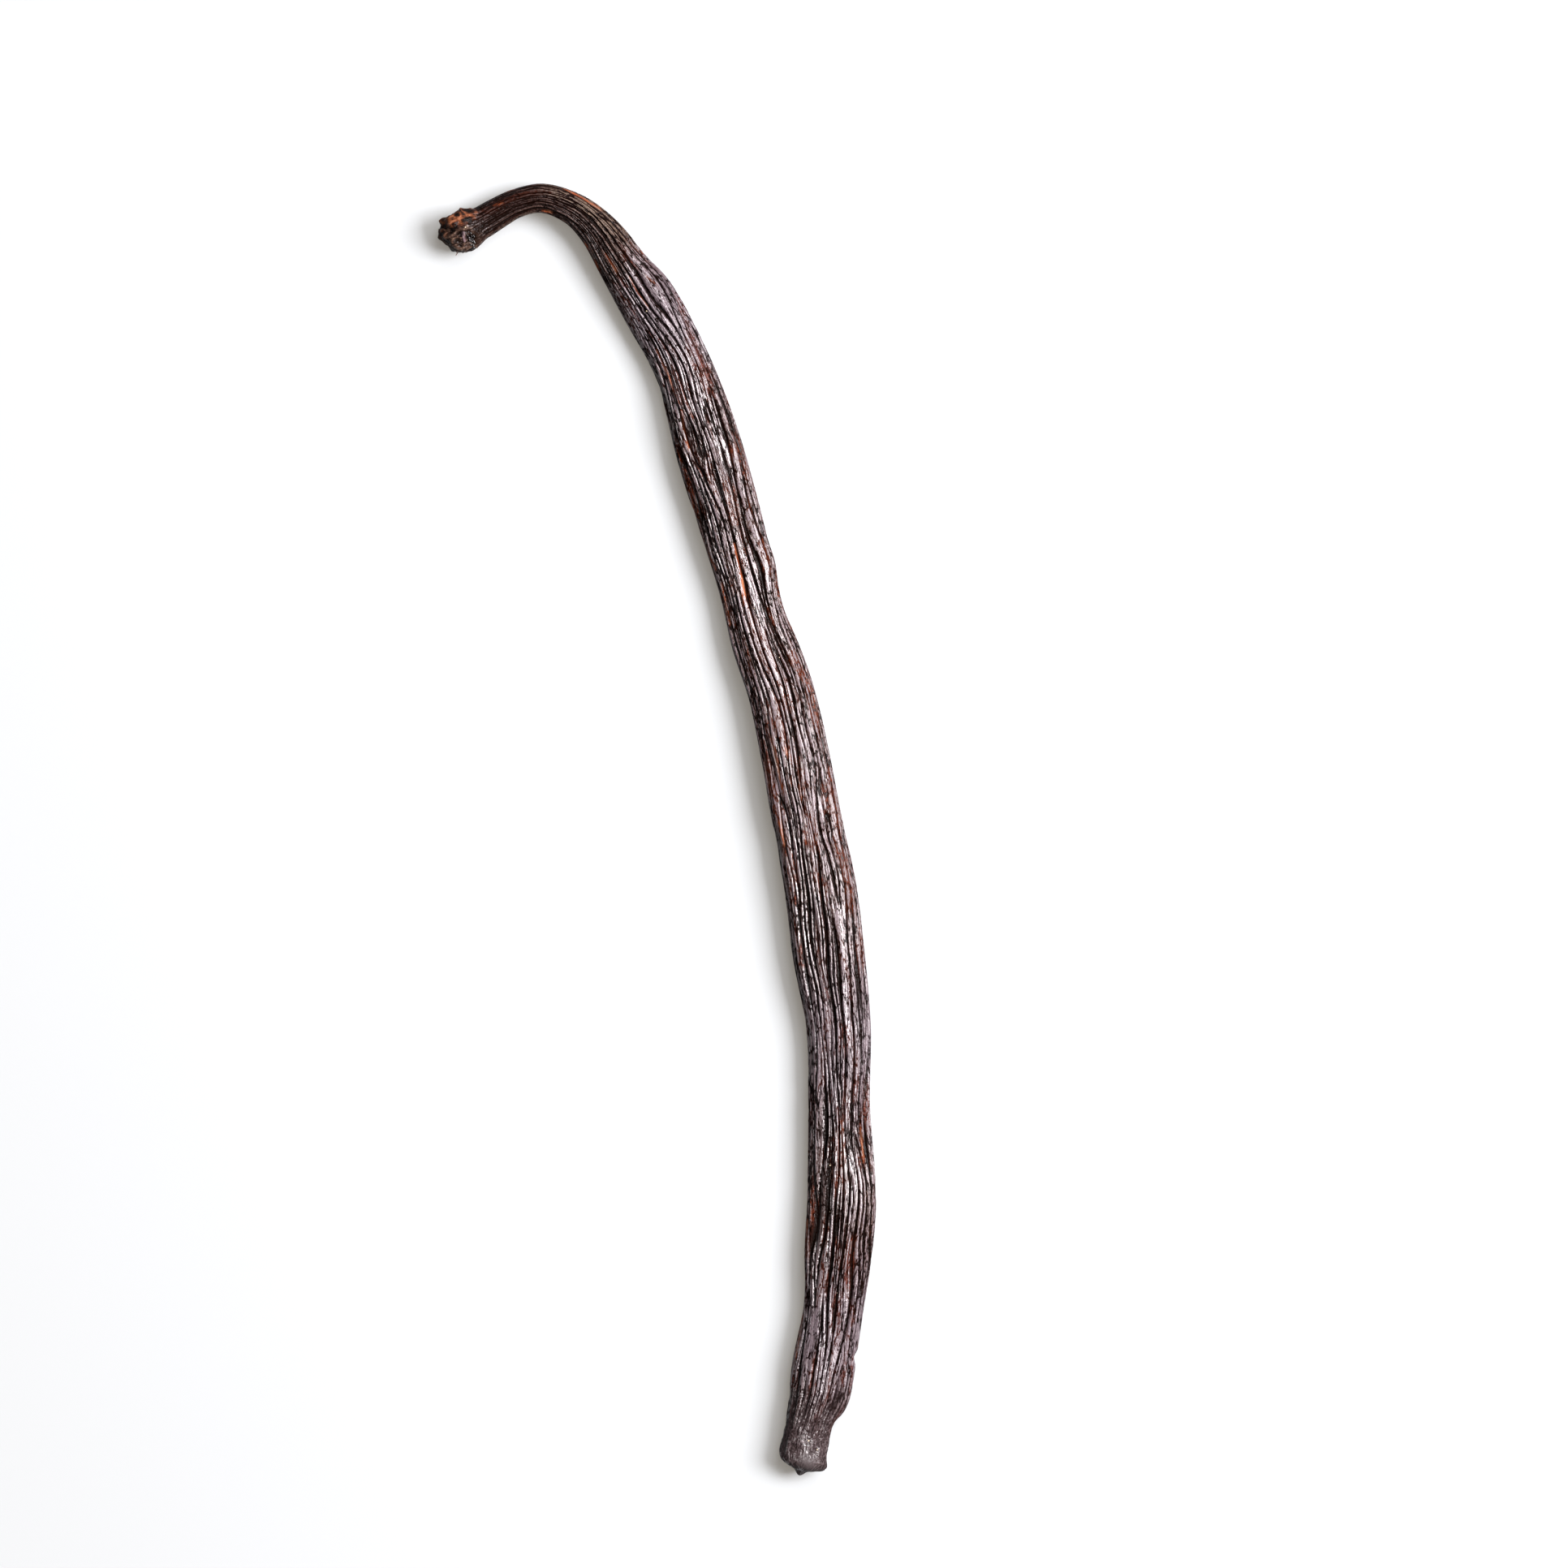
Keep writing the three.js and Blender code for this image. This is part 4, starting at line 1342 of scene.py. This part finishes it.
class VANILLA_OT_add_stage(bpy.types.Operator):
    """Adds the table, the soft lights and the camera that looks straight down"""

    bl_idname = "vanilla.add_stage"
    bl_label = "Add stage"

    def execute(self, context):
        scene = context.scene
        stage = scene.vanilla_stage
        mesh = bpy.data.meshes.new("table")
        ways = ((-1, -1), (1, -1), (1, 1), (-1, 1))
        corners = [(x * TABLE_REACH, y * TABLE_REACH, 0) for x, y in ways]
        mesh.from_pydata(corners, [], [(0, 1, 2, 3)])
        material, _, shader = new_material("matt_white_table")
        shader.inputs["Base Color"].default_value = linear(stage.table_hex)
        shader.inputs["Roughness"].default_value = 0.9
        shader.inputs["Specular IOR Level"].default_value = 0.2
        shader.inputs["Emission Color"].default_value = linear(stage.shade_hex)
        shader.inputs["Emission Strength"].default_value = stage.shade
        mesh.materials.append(material)
        table = new_object("table", mesh)

        lights = [
            ("top_softbox", (0.3, 0.55, 0.75), (0.5, 0.5), stage.top_power),
            ("right_softbox", (0.67, 0.12, 0.66), (0.5, 0.5), stage.right_power),
            ("overhead_softbox", (0.1, 0.0, 1.5), (1.2, 1.2), stage.overhead_power),
        ]
        for name, place, (wide, high), power in lights:
            data = bpy.data.lights.new(name, "AREA")
            data.shape = "RECTANGLE"
            data.size, data.size_y = wide, high
            data.energy = power
            data.color = linear(LIGHT_HEX)[:3]
            light = new_object(name, data, place)
            aim = -light.location.normalized()
            light.rotation_euler = aim.to_track_quat("-Z", "Y").to_euler()

        # The room lights the pod a little, and is seen as a pale wall behind it.
        world = bpy.data.worlds.new("soft_room")
        world.use_nodes = True
        room = world.node_tree.nodes["Background"]
        seen = add_node(world.node_tree, "ShaderNodeLightPath", "Is Camera Ray")
        inputs = {"Value": seen, "To Min": stage.fill, "To Max": ROOM_SEEN}
        strength = add_node(world.node_tree, "ShaderNodeMapRange", 0, {}, inputs)
        room.inputs["Color"].default_value = linear(stage.room_hex)
        world.node_tree.links.new(strength, room.inputs["Strength"])
        scene.world = world

        place = (FRAME_MIDDLE[0] * MM, FRAME_MIDDLE[1] * MM, CAMERA_HEIGHT)
        camera = new_object("camera", bpy.data.cameras.new("camera"), place)
        camera.data.sensor_width = SENSOR_WIDTH
        distance = CAMERA_HEIGHT - FRAME_LEVEL * MM
        camera.data.lens = SENSOR_WIDTH * distance / (FRAME_WIDTH * MM)
        camera.data.clip_end = 20
        scene.camera = camera
        scene.view_settings.view_transform = "Standard"
        return {"FINISHED"}


class VANILLA_PT_pieces(bpy.types.Panel):
    bl_idname = "VANILLA_PT_pieces"
    bl_label = "Vanilla pod"
    bl_space_type = "VIEW_3D"
    bl_region_type = "UI"
    bl_category = "Vanilla"

    def draw(self, context):
        for group in (context.scene.vanilla_skin, context.scene.vanilla_stage):
            for name in group.__annotations__:
                self.layout.prop(group, name)
        for name in STEPS:
            self.layout.operator(f"vanilla.{name}")


STEPS = ("add_pod", "add_beads", "add_scraps", "add_stage")
CLASSES = (
    VanillaSkin,
    VanillaStage,
    VANILLA_OT_add_pod,
    VANILLA_OT_add_beads,
    VANILLA_OT_add_scraps,
    VANILLA_OT_add_stage,
    VANILLA_PT_pieces,
)


def register():
    for cls in CLASSES:
        bpy.utils.register_class(cls)
    bpy.types.Scene.vanilla_skin = bpy.props.PointerProperty(type=VanillaSkin)
    bpy.types.Scene.vanilla_stage = bpy.props.PointerProperty(type=VanillaStage)


def unregister():
    del bpy.types.Scene.vanilla_stage
    del bpy.types.Scene.vanilla_skin
    for cls in reversed(CLASSES):
        bpy.utils.unregister_class(cls)


def main():
    register()
    for name in STEPS:
        getattr(bpy.ops.vanilla, name)()


if __name__ == "__main__":
    main()
